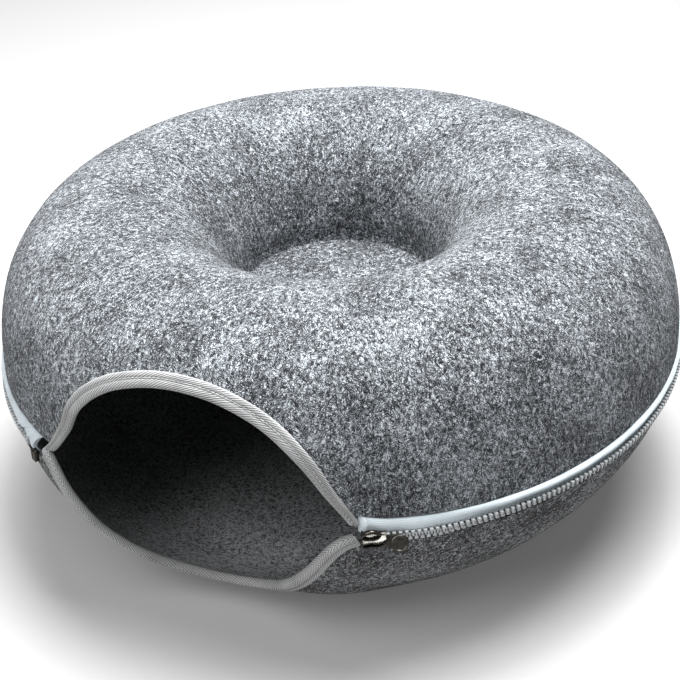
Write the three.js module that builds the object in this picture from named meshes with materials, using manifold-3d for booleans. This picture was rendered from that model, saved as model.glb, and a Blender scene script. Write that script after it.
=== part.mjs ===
// Donut cat tunnel: two moulded felt shells, zipped together round the middle, with a bound round entrance
// and a sunken seat on top. Millimetres, +Z up, the origin on the floor under the middle. The entrance faces
// -Y, and azimuths are in degrees from -Y towards +X.
import * as THREE from "three";
import { mergeVertices } from "three/addons/utils/BufferGeometryUtils.js";
import Module from "manifold-3d";

const wasm = await Module();
wasm.setup();

// Shape of the felt donut
const OUTER_RADIUS = 250;
const EQUATOR_HEIGHT = 118.5;
const BASE_RADIUS = 143;
const CREST_RADIUS = 158;
const CREST_HEIGHT = 235;
const PIT_RADIUS = 73.5;
const PIT_HEIGHT = 152;
const PIT_CROWN = 3;
const FELT = 4;

// How full each quarter of the section is: 2 is an ellipse, less is leaner, more is squarer
const LOWER_FULLNESS = 1.56;
const UPPER_FULLNESS = 2.43;
const PIT_FULLNESS = 2.05;

// The zip, the felt edges beside it and the tabs of the lower shell beside the entrance
const ZIP_HEIGHT = 115.5;
const UPPER_FELT_EDGE = ZIP_HEIGHT + 12;
const LOWER_FELT_EDGE = ZIP_HEIGHT - 7;
const LOWER_TAB_TOP = ZIP_HEIGHT + 2.5;

// Zip: chain of teeth, its two tapes, and where they end beside the entrance
const CHAIN_HEIGHT = 7;
const CHAIN_INNER = 250.8;
const CHAIN_OUTER = 254.2;
const CHAIN_CORNER = 1;
const TAPE = 1;
const TAPE_OVERLAP = 10;
const TAPE_BULGE = 0.7;
const TAPE_TURN = 0.9;
const BULGE_SHARE = 0.42;
const TAPE_END = { left: -28.7, right: 28.4 };
const TAB_END = { left: -28.8, right: 28.2 };
const LOWER_TAPE_END = { left: -30.6, right: 30.2 };
const CHAIN_END = { left: -30.48, right: 32.4 };
const OVERLAP_FROM = 6.5;
const OVERLAP_FULL = 12;

// Slider, puller and end stop. The slider's core runs between the tapes, and its crown holds the puller
const SLIDER = { length: 15, height: 11.5, nose: 7.5, plate: 2.4, azimuth: 30.4 };
const CORE = { length: 7.5, back: 3, depth: 3.2, height: 4 };
const CROWN = { radius: 5.4, eye: 2.4, width: 3.4 };
const PULLER = { length: 19.5, neck: 3.4, disc: 5, thick: 1.5, rim: 0.9, dish: 0.5, tilt: -32, lead: 0.9 };
const STOP = { length: 5.6, height: 8, depth: 4.6, corner: 1, azimuth: -29.75, drop: 2.5 };

// Entrance binding: a woven tape folded over the cut felt edge
const BINDING = 1.2;
const BINDING_WIDTH = 11;
const BINDING_END_WIDTH = 6.5;
const BINDING_TAPER = 0.26;
const BINDING_GAP = 0.8;
const FOLD_CORNER = 0.6;

// The lower shell springs out in bulges at the front, where the cut entrance leaves it slack
const BULGES = [
  { reach: 9, azimuth: -16, span: 34, way: 1.15 },
  { reach: 4.2, azimuth: 24, span: 18, way: 0.67 },
];

// Room between pieces, how near two points are to be one, and how far a cut reaches past the felt
const GAP = 0.3;
const WELD = 1e-3;
const CUT_REACH = 3 * FELT;
const CUT_FRONT = 1.25 * OUTER_RADIUS;
const CUT_BACK = 0.6 * OUTER_RADIUS;

// Steps round the turned felt, along a quarter of its section, along the entrance, zip and small curves
const TURN_STEPS = 60;
const QUARTER_STEPS = 9;
const EDGE_STEPS = 48;
const ZIP_STEPS = 48;
const CURVE_STEPS = 8;

// Clear edge of the entrance, from its left zip end to its right one, over the arch and under it
const ARCH_EDGE = [
  { azimuth: -25.8, height: 121 },
  { azimuth: -23.3, height: 131.3 },
  { azimuth: -21.2, height: 142 },
  { azimuth: -19.2, height: 153.5 },
  { azimuth: -17.1, height: 172 },
  { azimuth: -12.2, height: 190 },
  { azimuth: -5.5, height: 200.2 },
  { azimuth: 1.5, height: 203 },
  { azimuth: 8.5, height: 199.5 },
  { azimuth: 15.0, height: 188.7 },
  { azimuth: 20.4, height: 168.5 },
  { azimuth: 24.1, height: 146 },
  { azimuth: 26.8, height: 128.5 },
  { azimuth: 27.5, height: 121.5 },
];
const LIP_EDGE = [
  { azimuth: -28.0, height: 126.5 },
  { azimuth: -25.1, height: 122.5 },
  { azimuth: -22.4, height: 113 },
  { azimuth: -20.3, height: 98.3 },
  { azimuth: -18.4, height: 80.4 },
  { azimuth: -15.8, height: 61 },
  { azimuth: -11.5, height: 42 },
  { azimuth: -6.0, height: 31.5 },
  { azimuth: 0.0, height: 28 },
  { azimuth: 6.0, height: 31 },
  { azimuth: 11.8, height: 40.5 },
  { azimuth: 16.6, height: 59 },
  { azimuth: 19.6, height: 77.5 },
  { azimuth: 21.9, height: 94.6 },
  { azimuth: 23.8, height: 106.6 },
  { azimuth: 25.7, height: 114.4 },
  { azimuth: 27.8, height: 118.6 },
];

const felt = new THREE.MeshStandardMaterial({ color: 0x7d7f85, roughness: 0.95, metalness: 0 });
const feltBelow = new THREE.MeshStandardMaterial({ color: 0x6c6e73, roughness: 0.95, metalness: 0 });
const twill = new THREE.MeshStandardMaterial({ color: 0xa3a19d, roughness: 0.85, metalness: 0 });
const zipCloth = new THREE.MeshStandardMaterial({ color: 0xb9c4ca, roughness: 0.6, metalness: 0 });
const tooth = new THREE.MeshStandardMaterial({ color: 0xd5d8da, roughness: 0.35, metalness: 0.2 });
const gunmetal = new THREE.MeshStandardMaterial({ color: 0x4a4743, roughness: 0.3, metalness: 0.9 });

// Points of a quarter of a superellipse, from its upright end to its level end
function quarter(upright, level, fullness) {
  const power = 2 / fullness;
  return Array.from({ length: QUARTER_STEPS + 1 }, (_, step) => {
    const turn = (step / QUARTER_STEPS) * (Math.PI / 2);
    const across = Math.max(0, Math.cos(turn)) ** power;
    const up = Math.sin(turn) ** power;
    return new THREE.Vector2(
      level.x + (upright.x - level.x) * across,
      upright.y + (level.y - upright.y) * up,
    );
  });
}

// The felt's outer face in section, from the middle of the base out, up, over the crest and into the pit
const equator = new THREE.Vector2(OUTER_RADIUS, EQUATOR_HEIGHT);
const crest = new THREE.Vector2(CREST_RADIUS, CREST_HEIGHT);
const outerFace = [
  new THREE.Vector2(0, 0),
  ...quarter(equator, new THREE.Vector2(BASE_RADIUS, 0), LOWER_FULLNESS).reverse(),
  ...quarter(equator, crest, UPPER_FULLNESS).slice(1),
  ...quarter(new THREE.Vector2(PIT_RADIUS, PIT_HEIGHT), crest, PIT_FULLNESS).reverse().slice(1),
  ...[1 / 2, 0].map((share) => (
    new THREE.Vector2(PIT_RADIUS * share, PIT_HEIGHT + PIT_CROWN * (1 - share ** 2))
  )),
];
const crestIndex = outerFace.indexOf(outerFace.find((p) => p.y === CREST_HEIGHT));

// Unit normal on the right of the way from one point to the next
function sideNormal(from, to) {
  return new THREE.Vector2(to.y - from.y, from.x - to.x).normalize();
}

// Mitred normals along a line of points, so that a line moved along them keeps its distance
function mitredNormals(points) {
  return points.map((point, i) => {
    const before = i > 0 ? sideNormal(points[i - 1], point) : null;
    const after = i < points.length - 1 ? sideNormal(point, points[i + 1]) : null;
    if (!before || !after) {
      return before ?? after;
    }
    return before.clone().add(after).divideScalar(1 + before.dot(after));
  });
}

// On the axis the felt's normals are upright, so that both faces stay level there
const faceNormals = mitredNormals(outerFace);
faceNormals[0].set(0, -1);
faceNormals.at(-1).set(0, 1);

const faceLengths = outerFace.reduce((lengths, point, i) => {
  lengths.push(i === 0 ? 0 : lengths[i - 1] + point.distanceTo(outerFace[i - 1]));
  return lengths;
}, []);

// Point of the section at a length along the outer face, moved out by a distance
function sectionAt(length, out) {
  const last = outerFace.length - 2;
  const next = faceLengths.findIndex((l) => l > length);
  const i = next < 0 ? last : THREE.MathUtils.clamp(next - 1, 0, last);
  const part = (length - faceLengths[i]) / (faceLengths[i + 1] - faceLengths[i]);
  const from = outerFace[i].clone().addScaledVector(faceNormals[i], out);
  const to = outerFace[i + 1].clone().addScaledVector(faceNormals[i + 1], out);
  return from.lerp(to, part);
}

// Length along the outer face at a height on the outer wall, below the crest
function lengthAtHeight(height) {
  const i = outerFace.findIndex((p, k) => k > 1 && k <= crestIndex && p.y >= height);
  const part = (height - outerFace[i - 1].y) / (outerFace[i].y - outerFace[i - 1].y);
  return faceLengths[i - 1] + part * (faceLengths[i] - faceLengths[i - 1]);
}

// A point of the turned felt at an azimuth in radians, on the flat facets that the turning makes
function turned(section, azimuth) {
  const half = Math.PI / TURN_STEPS;
  const within = THREE.MathUtils.euclideanModulo(azimuth, 2 * half) - half;
  const radius = (section.x * Math.cos(half)) / Math.cos(within);
  return new THREE.Vector3(radius * Math.sin(azimuth), -radius * Math.cos(azimuth), section.y);
}

function feltPoint(place, out) {
  return turned(sectionAt(place.length, out), place.azimuth);
}

// Turns a geometry right side out
function outward(geometry) {
  const p = geometry.getAttribute("position");
  const index = geometry.index.array;
  const a = new THREE.Vector3();
  const b = new THREE.Vector3();
  const c = new THREE.Vector3();
  let volume = 0;
  for (let i = 0; i < index.length; i += 3) {
    a.fromBufferAttribute(p, index[i]);
    b.fromBufferAttribute(p, index[i + 1]);
    c.fromBufferAttribute(p, index[i + 2]);
    volume += a.dot(b.cross(c));
  }
  if (volume < 0) {
    for (let i = 0; i < index.length; i += 3) {
      [index[i], index[i + 1]] = [index[i + 1], index[i]];
    }
  }
  return geometry;
}

// A closed body from points and triangles, with shared points merged and flat triangles dropped
function closedBody(geometry) {
  const bare = geometry.index ? geometry.clone() : mergeVertices(geometry);
  bare.deleteAttribute("normal");
  bare.deleteAttribute("uv");
  const merged = mergeVertices(bare, WELD);
  const kept = [];
  const index = merged.index.array;
  for (let i = 0; i < index.length; i += 3) {
    const [a, b, c] = [index[i], index[i + 1], index[i + 2]];
    if (a !== b && b !== c && c !== a) {
      kept.push(a, b, c);
    }
  }
  merged.setIndex(kept);
  return outward(merged);
}

// A closed body through a row of sections, each the same flat outline, capped at both ends
function loft(rings, flatOutline) {
  const count = flatOutline.length;
  const geometry = new THREE.BufferGeometry().setFromPoints(rings.flat());
  const index = [];
  for (let k = 0; k + 1 < rings.length; k += 1) {
    for (let i = 0; i < count; i += 1) {
      const a = k * count + i;
      const b = k * count + ((i + 1) % count);
      index.push(a, b, b + count, a, b + count, a + count);
    }
  }
  const endStart = (rings.length - 1) * count;
  const flips = THREE.ShapeUtils.isClockWise(flatOutline);
  THREE.ShapeUtils.triangulateShape(flatOutline, []).forEach(([a, b, c]) => {
    const near = flips ? [a, b, c] : [a, c, b];
    index.push(...near, ...near.toReversed().map((i) => i + endStart));
  });
  geometry.setIndex(index);
  return closedBody(geometry);
}

function toSolid(geometry) {
  const body = closedBody(geometry);
  return new wasm.Manifold(new wasm.Mesh({
    numProp: 3,
    vertProperties: new Float32Array(body.getAttribute("position").array),
    triVerts: new Uint32Array(body.index.array),
  }));
}

function toGeometry(solid) {
  const mesh = solid.getMesh();
  const geometry = new THREE.BufferGeometry();
  geometry.setAttribute("position", new THREE.BufferAttribute(mesh.vertProperties, 3));
  geometry.setIndex(new THREE.BufferAttribute(mesh.triVerts, 1));
  return geometry;
}

// Felt turned from a stretch of the outer face, its inner face one felt thickness in
function turnedFelt(fromLength, toLength) {
  const between = faceLengths.filter((l) => l > fromLength + GAP && l < toLength - GAP);
  const lengths = [fromLength, ...between, toLength];
  const outside = lengths.map((l) => sectionAt(l, 0));
  const inside = lengths.map((l) => sectionAt(l, -FELT)).reverse();
  const ring = [...outside, ...inside];
  const open = ring.findIndex((p, i) => p.x < GAP && ring[(i + 1) % ring.length].x < GAP) + 1;
  const points = [...ring.slice(open), ...ring.slice(0, open)];
  points[0].x = 0;
  points[points.length - 1].x = 0;
  return new THREE.LatheGeometry(points, TURN_STEPS).rotateX(Math.PI / 2);
}

// Smooth entrance edge through a table, as places on the outer face
function edgePlaces(table) {
  const perDegree = OUTER_RADIUS * THREE.MathUtils.DEG2RAD;
  const knots = table.map((row) => new THREE.Vector3(row.azimuth * perDegree, row.height, 0));
  const curve = new THREE.CatmullRomCurve3(knots, false, "centripetal");
  return curve.getSpacedPoints(EDGE_STEPS).map((p) => ({
    azimuth: p.x / OUTER_RADIUS,
    length: lengthAtHeight(p.y),
  }));
}

// Moves an edge place over the face, away from the opening, by a distance
function setBack(places, i, distance, side) {
  const here = places[i];
  const before = places[Math.max(0, i - 1)];
  const after = places[Math.min(places.length - 1, i + 1)];
  const radius = sectionAt(here.length, 0).x;
  const round = (after.azimuth - before.azimuth) * radius;
  const along = new THREE.Vector2(round, after.length - before.length).normalize();
  return {
    azimuth: here.azimuth - (side * along.y * distance) / radius,
    length: here.length + side * along.x * distance,
  };
}

// Sides of the opening on which the felt lies: above the arch's edge and below the lip's
const ABOVE = 1;
const BELOW = -1;

const archPlaces = edgePlaces(ARCH_EDGE);
const lipPlaces = edgePlaces(LIP_EDGE);

// A plug through the felt, set back from the clear edge, for cutting the entrance
function entrancePlug(distance) {
  const loop = [
    ...archPlaces.map((_, i) => setBack(archPlaces, i, distance, ABOVE)),
    ...lipPlaces.map((_, i) => setBack(lipPlaces, i, distance, BELOW)).reverse(),
  ];
  const outer = loop.map((place) => feltPoint(place, CUT_REACH));
  const inner = loop.map((place) => feltPoint(place, -FELT - CUT_REACH));
  const front = new THREE.Vector3(0, -CUT_FRONT, EQUATOR_HEIGHT);
  const back = new THREE.Vector3(0, -CUT_BACK, EQUATOR_HEIGHT);
  const geometry = new THREE.BufferGeometry().setFromPoints([...outer, ...inner, front, back]);
  const count = loop.length;
  const index = [];
  for (let i = 0; i < count; i += 1) {
    const next = (i + 1) % count;
    index.push(i, next, count + next, i, count + next, count + i);
    index.push(next, i, 2 * count, count + i, count + next, 2 * count + 1);
  }
  geometry.setIndex(index);
  return closedBody(geometry);
}

// Section of the binding: an outer leg, a fold round the felt edge and an inner leg
function bindingSection(width) {
  const leg = BINDING_GAP + BINDING;
  const acrossLeg = (out) => [width, width / 2].map((back) => new THREE.Vector2(back, out));
  return [
    ...acrossLeg(leg),
    new THREE.Vector2(FOLD_CORNER, leg),
    new THREE.Vector2(0, leg - FOLD_CORNER),
    new THREE.Vector2(0, -FELT - leg + FOLD_CORNER),
    new THREE.Vector2(FOLD_CORNER, -FELT - leg),
    ...acrossLeg(-FELT - leg).reverse(),
    ...acrossLeg(-FELT - BINDING_GAP),
    new THREE.Vector2(BINDING, -FELT - BINDING_GAP),
    new THREE.Vector2(BINDING, BINDING_GAP),
    ...acrossLeg(BINDING_GAP).reverse(),
  ];
}

// Binding swept along an edge, narrower towards its two ends
function binding(places, side) {
  const last = places.length - 1;
  const rings = places.map((_, i) => {
    const fromEnd = Math.min(i, last - i) / last;
    const share = THREE.MathUtils.smoothstep(fromEnd, 0, BINDING_TAPER);
    const section = bindingSection(THREE.MathUtils.lerp(BINDING_END_WIDTH, BINDING_WIDTH, share));
    return section.map((p) => feltPoint(setBack(places, i, p.x, side), p.y));
  });
  return loft(rings, bindingSection(BINDING_END_WIDTH));
}

// Moves the points of a lower piece out, where the slack front of the shell springs open
function sprung(geometry) {
  const position = geometry.getAttribute("position");
  const point = new THREE.Vector3();
  for (let i = 0; i < position.count; i += 1) {
    point.fromBufferAttribute(position, i);
    const azimuth = Math.atan2(point.x, -point.y) * THREE.MathUtils.RAD2DEG;
    const radius = Math.hypot(point.x, point.y);
    const outShare = (radius - BASE_RADIUS) / (OUTER_RADIUS - BASE_RADIUS);
    const upShare = point.z / EQUATOR_HEIGHT;
    const out = BULGES.reduce((sum, bulge) => {
      const aside = THREE.MathUtils.clamp((azimuth - bulge.azimuth) / bulge.span, -1, 1);
      const way = THREE.MathUtils.clamp((outShare + upShare) / (2 * bulge.way), 0, 1);
      return sum + bulge.reach * Math.cos((aside * Math.PI) / 2) ** 2 * 4 * way * (1 - way);
    }, 0);
    const grow = radius > 0 ? 1 + out / radius : 1;
    position.setXYZ(i, point.x * grow, point.y * grow, point.z);
  }
  return geometry;
}

// A wide flat slab between two heights, for trimming
function slab(low, high) {
  const across = 3 * OUTER_RADIUS;
  return new THREE.BoxGeometry(across, across, high - low).translate(0, 0, (low + high) / 2);
}

// Azimuths in degrees of the steps of a zip piece, round the back from its right end to its left one
function zipSteps(ends) {
  const turn = 360 + ends.left - ends.right;
  return Array.from({ length: ZIP_STEPS + 1 }, (_, i) => ends.right + (turn * i) / ZIP_STEPS);
}

// A strip that follows the zip round: its section is asked for at each step, by its way from the nearer end
function zipStrip(ends, sectionFor) {
  const steps = zipSteps(ends);
  const sections = steps.map((azimuth) => {
    const fromEnd = Math.min(azimuth - ends.right, 360 + ends.left - azimuth);
    return sectionFor(fromEnd);
  });
  const rings = steps.map((azimuth, i) => (
    sections[i].map((p) => turned(p, azimuth * THREE.MathUtils.DEG2RAD))
  ));
  return loft(rings, sections[Math.floor(ZIP_STEPS / 2)]);
}

// Section of a zip tape: hidden behind the felt, then bulging out to the chain. side is 1 above the chain
function tapeSection(feltEdge, side) {
  const chainSide = ZIP_HEIGHT + side * (CHAIN_HEIGHT / 2 + GAP);
  const edgeLength = lengthAtHeight(feltEdge);
  const behind = -FELT - GAP - TAPE / 2;
  const bulge = OUTER_RADIUS + TAPE_BULGE;
  return (fromEnd) => {
    const share = THREE.MathUtils.smoothstep(fromEnd, OVERLAP_FROM, OVERLAP_FULL);
    const overlap = THREE.MathUtils.lerp(-TAPE_TURN / 2, TAPE_OVERLAP, share);
    const middle = [
      sectionAt(edgeLength + side * overlap, behind),
      sectionAt(edgeLength - side * TAPE_TURN, behind),
      new THREE.Vector2(bulge, THREE.MathUtils.lerp(chainSide, feltEdge, BULGE_SHARE)),
      new THREE.Vector2(bulge, chainSide),
    ];
    const normals = mitredNormals(middle);
    const faceOf = (out) => middle.map((p, i) => p.clone().addScaledVector(normals[i], out));
    return [...faceOf(TAPE / 2), ...faceOf(-TAPE / 2).reverse()];
  };
}

// Section of the chain of teeth, with its two outer corners taken off
function chainSection() {
  const half = CHAIN_HEIGHT / 2;
  const [low, high] = [ZIP_HEIGHT - half, ZIP_HEIGHT + half];
  const outline = [
    new THREE.Vector2(CHAIN_INNER, low),
    new THREE.Vector2(CHAIN_OUTER - CHAIN_CORNER, low),
    new THREE.Vector2(CHAIN_OUTER, low + CHAIN_CORNER),
    new THREE.Vector2(CHAIN_OUTER, high - CHAIN_CORNER),
    new THREE.Vector2(CHAIN_OUTER - CHAIN_CORNER, high),
    new THREE.Vector2(CHAIN_INNER, high),
  ];
  return () => outline;
}

// A flat outline given thickness, standing up with its face to -Y
function plate(shape, thickness) {
  const steps = { depth: thickness, bevelEnabled: false, curveSegments: CURVE_STEPS };
  return new THREE.ExtrudeGeometry(shape, steps).rotateX(Math.PI / 2);
}

// Slider: a front plate that narrows to its nose, a core between the tapes and a crown for the puller
function sliderGeometry() {
  const { length, height, nose, plate: thick } = SLIDER;
  const front = new THREE.Shape();
  front.moveTo(-length / 2, -height / 2);
  front.lineTo(0, -height / 2);
  front.quadraticCurveTo(length / 2, -nose / 2, length / 2, 0);
  front.quadraticCurveTo(length / 2, nose / 2, 0, height / 2);
  front.lineTo(-length / 2, height / 2);
  front.closePath();
  const core = new THREE.BoxGeometry(CORE.length, CORE.depth + thick, CORE.height);
  core.translate(-CORE.back, CORE.depth / 2, 0);
  const loop = new THREE.Shape();
  loop.absarc(0, 0, CROWN.radius, 0, Math.PI);
  const eye = new THREE.Path();
  eye.absarc(0, 2 * GAP, CROWN.eye, 0, Math.PI);
  loop.holes.push(eye);
  const steps = { depth: CROWN.width, bevelEnabled: false, curveSegments: CURVE_STEPS };
  const crown = new THREE.ExtrudeGeometry(loop, steps).translate(0, -GAP, -CROWN.width / 2);
  crown.rotateX(Math.PI).translate(0, -thick, 0);
  return toGeometry(toSolid(plate(front, thick)).add(toSolid(core)).add(toSolid(crown)));
}

// Puller: a neck that ends in a round disc with a dished middle
function pullerGeometry() {
  const { length, neck, disc, thick, rim, dish } = PULLER;
  const shoulder = Math.PI - Math.asin(neck / (2 * disc));
  const outline = new THREE.Shape();
  outline.moveTo(0, -neck / 2);
  outline.absarc(length - disc, 0, disc, -shoulder, shoulder);
  outline.lineTo(0, neck / 2);
  outline.closePath();
  const middle = new THREE.Shape().absarc(length - disc, 0, disc - rim, 0, 2 * Math.PI);
  const dished = plate(middle, thick).translate(0, dish - thick, 0);
  return toGeometry(toSolid(plate(outline, thick)).subtract(toSolid(dished)));
}

// A block with chamfered long edges
function stopGeometry() {
  const { length, height, depth, corner } = STOP;
  const outline = new THREE.Shape();
  outline.moveTo(-length / 2 + corner, -height / 2);
  outline.lineTo(length / 2 - corner, -height / 2);
  outline.lineTo(length / 2, -height / 2 + corner);
  outline.lineTo(length / 2, height / 2 - corner);
  outline.lineTo(length / 2 - corner, height / 2);
  outline.lineTo(-length / 2 + corner, height / 2);
  outline.lineTo(-length / 2, height / 2 - corner);
  outline.lineTo(-length / 2, -height / 2 + corner);
  outline.closePath();
  return plate(outline, depth);
}

function named(name, geometry, material) {
  const mesh = new THREE.Mesh(geometry, material);
  mesh.name = name;
  return mesh;
}

// A mesh turned to an azimuth, with its front facing away from the axis
function atAzimuth(azimuth, radius, height, mesh) {
  const group = new THREE.Group();
  const turn = azimuth * THREE.MathUtils.DEG2RAD;
  group.rotation.z = turn;
  group.position.set(radius * Math.sin(turn), -radius * Math.cos(turn), height);
  group.add(mesh);
  return group;
}

// Felt shells, with the entrance cut through both and the slot for the zip cut from the lower one
const plug = toSolid(entrancePlug(BINDING + BINDING_GAP));
const zipSlot = zipStrip(TAB_END, () => [
  new THREE.Vector2(OUTER_RADIUS - CUT_REACH, LOWER_FELT_EDGE),
  new THREE.Vector2(OUTER_RADIUS + CUT_REACH, LOWER_FELT_EDGE),
  new THREE.Vector2(OUTER_RADIUS + CUT_REACH, UPPER_FELT_EDGE),
  new THREE.Vector2(OUTER_RADIUS - CUT_REACH, UPPER_FELT_EDGE),
]);
const upperFelt = turnedFelt(lengthAtHeight(UPPER_FELT_EDGE), faceLengths.at(-1));
const lowerFelt = turnedFelt(0, lengthAtHeight(LOWER_TAB_TOP));
const upperShell = toSolid(upperFelt).subtract(plug);
const lowerShell = toSolid(lowerFelt).subtract(plug).subtract(toSolid(zipSlot));

const archTrim = toSolid(slab(0, UPPER_FELT_EDGE));
const lipTrim = toSolid(slab(LOWER_TAB_TOP, CREST_HEIGHT));
const archBinding = toSolid(binding(archPlaces, ABOVE)).subtract(archTrim);
const lipBinding = toSolid(binding(lipPlaces, BELOW)).subtract(lipTrim);

const sliderRadius = OUTER_RADIUS + TAPE_BULGE + TAPE / 2 + GAP;
const stopHeight = ZIP_HEIGHT - STOP.drop;
const slider = named("zip_slider", sliderGeometry(), gunmetal);
const endStop = named("zip_end_stop", stopGeometry(), gunmetal);
const puller = named("zip_puller", pullerGeometry(), gunmetal);
puller.rotation.y = -PULLER.tilt * THREE.MathUtils.DEG2RAD;

const donut = new THREE.Group();
donut.add(
  named("upper_shell", toGeometry(upperShell), felt),
  named("lower_shell", sprung(toGeometry(lowerShell)), feltBelow),
  named("binding_upper", toGeometry(archBinding), twill),
  named("binding_lower", sprung(toGeometry(lipBinding)), twill),
  named("zip_tape_upper", zipStrip(TAPE_END, tapeSection(UPPER_FELT_EDGE, 1)), zipCloth),
  named("zip_tape_lower", zipStrip(LOWER_TAPE_END, tapeSection(LOWER_FELT_EDGE, -1)), zipCloth),
  named("zip_chain", zipStrip(CHAIN_END, chainSection()), tooth),
  atAzimuth(SLIDER.azimuth, sliderRadius, ZIP_HEIGHT, slider),
  atAzimuth(SLIDER.azimuth + PULLER.lead, CHAIN_OUTER + SLIDER.plate, ZIP_HEIGHT, puller),
  atAzimuth(STOP.azimuth, sliderRadius, stopHeight, endStop),
);

export default donut;
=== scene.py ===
"""Dresses the donut cat tunnel: heathered felt shells, a twill-bound entrance and a zip round the middle.

Lengths are metres and angles degrees, unless a name or docstring says otherwise. The entrance faces -Y, and
azimuths run from -Y towards +X.
"""
from __future__ import annotations

import logging
import math
from collections.abc import Callable, Iterator, Sequence
from contextlib import contextmanager
from dataclasses import dataclass
from enum import Enum
from functools import cached_property, reduce
from typing import NamedTuple

import bpy
import numpy as np
from mathutils import Matrix, Vector, noise

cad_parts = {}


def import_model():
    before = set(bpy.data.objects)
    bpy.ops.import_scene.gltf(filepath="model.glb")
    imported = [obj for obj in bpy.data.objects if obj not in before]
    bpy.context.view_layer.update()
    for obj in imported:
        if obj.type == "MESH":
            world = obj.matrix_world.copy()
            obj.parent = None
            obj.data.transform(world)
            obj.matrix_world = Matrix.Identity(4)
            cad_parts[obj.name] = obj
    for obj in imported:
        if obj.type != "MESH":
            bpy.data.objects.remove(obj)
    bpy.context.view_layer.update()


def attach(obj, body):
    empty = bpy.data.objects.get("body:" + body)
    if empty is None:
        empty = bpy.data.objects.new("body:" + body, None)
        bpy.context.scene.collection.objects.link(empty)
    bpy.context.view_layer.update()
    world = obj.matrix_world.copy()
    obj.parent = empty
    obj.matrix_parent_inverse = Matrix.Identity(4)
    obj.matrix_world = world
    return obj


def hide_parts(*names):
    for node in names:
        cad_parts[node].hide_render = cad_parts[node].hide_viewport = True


LOG = logging.getLogger("donut_tunnel")
MM = 0.001
BODY = "root"
WELD = 0.01 * MM
INNER_FACE = "inner_face"
UPPER_TAPE_NAME = "zip_tape_sheet_upper"
NOISE_MIDDLE = 0.5
# Points tried for each stretch of a smooth line.
LINE_FINENESS = 12
# A face looks along an axis if this much of its normal does.
FACING = 0.9

Pair = tuple[float, float]
Colour = tuple[float, float, float]
Triple = tuple[float, float, float]


class Slot(Enum):
    """The record's material slots."""

    FELT_UPPER = "felt_upper"
    FELT_LOWER = "felt_lower"
    BINDING = "binding_twill"
    TAPE = "zip_tape"
    TEETH = "zip_teeth"
    METAL = "zip_metal"


class Side(Enum):
    """The side of the entrance, or of the zip, on which a piece lies."""

    ABOVE = 1
    BELOW = -1

    @property
    def word(self) -> str:
        """The side's word in the names of pieces and solids."""
        return "upper" if self is Side.ABOVE else "lower"


class Value:
    """A shader socket that takes part in Python expressions."""

    def __init__(self, graph: ShaderGraph, socket: bpy.types.NodeSocket) -> None:
        """Keeps the socket and the graph that it belongs to."""
        self.graph = graph
        self.socket = socket

    def _math(self, operation: str, first: Value | float, second: Value | float = 0.0) -> Value:
        """Adds a Math node over two values."""
        return self.graph.node("ShaderNodeMath", {"operation": operation}, {0: first, 1: second})

    def __add__(self, other: Value | float) -> Value:
        """The sum of two values."""
        return self._math("ADD", self, other)

    def __radd__(self, other: float) -> Value:
        """The sum, with the number first."""
        return self._math("ADD", other, self)

    def __sub__(self, other: Value | float) -> Value:
        """The difference of two values."""
        return self._math("SUBTRACT", self, other)

    def __rsub__(self, other: float) -> Value:
        """The difference, with the number first."""
        return self._math("SUBTRACT", other, self)

    def __mul__(self, other: Value | float) -> Value:
        """The product of two values."""
        return self._math("MULTIPLY", self, other)

    def __rmul__(self, other: float) -> Value:
        """The product, with the number first."""
        return self._math("MULTIPLY", other, self)

    def __truediv__(self, other: Value | float) -> Value:
        """The quotient of two values."""
        return self._math("DIVIDE", self, other)

    def __abs__(self) -> Value:
        """The value without its sign."""
        return self._math("ABSOLUTE", self)

    def most(self, other: Value | float) -> Value:
        """The larger of two values."""
        return self._math("MAXIMUM", self, other)

    def least(self, other: Value | float) -> Value:
        """The smaller of two values."""
        return self._math("MINIMUM", self, other)

    def wave(self, pitch: float) -> Value:
        """A wave along the value, from 0 to 1 and back once in each pitch."""
        return self._math("SINE", self * (2 * math.pi / pitch)) * 0.5 + 0.5

    def spread(self, low: float, high: float) -> Value:
        """The value's way from low to high, kept between 0 and 1."""
        return self.graph.node("ShaderNodeMapRange", None, {"Value": self, "From Min": low, "From Max": high})


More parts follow.
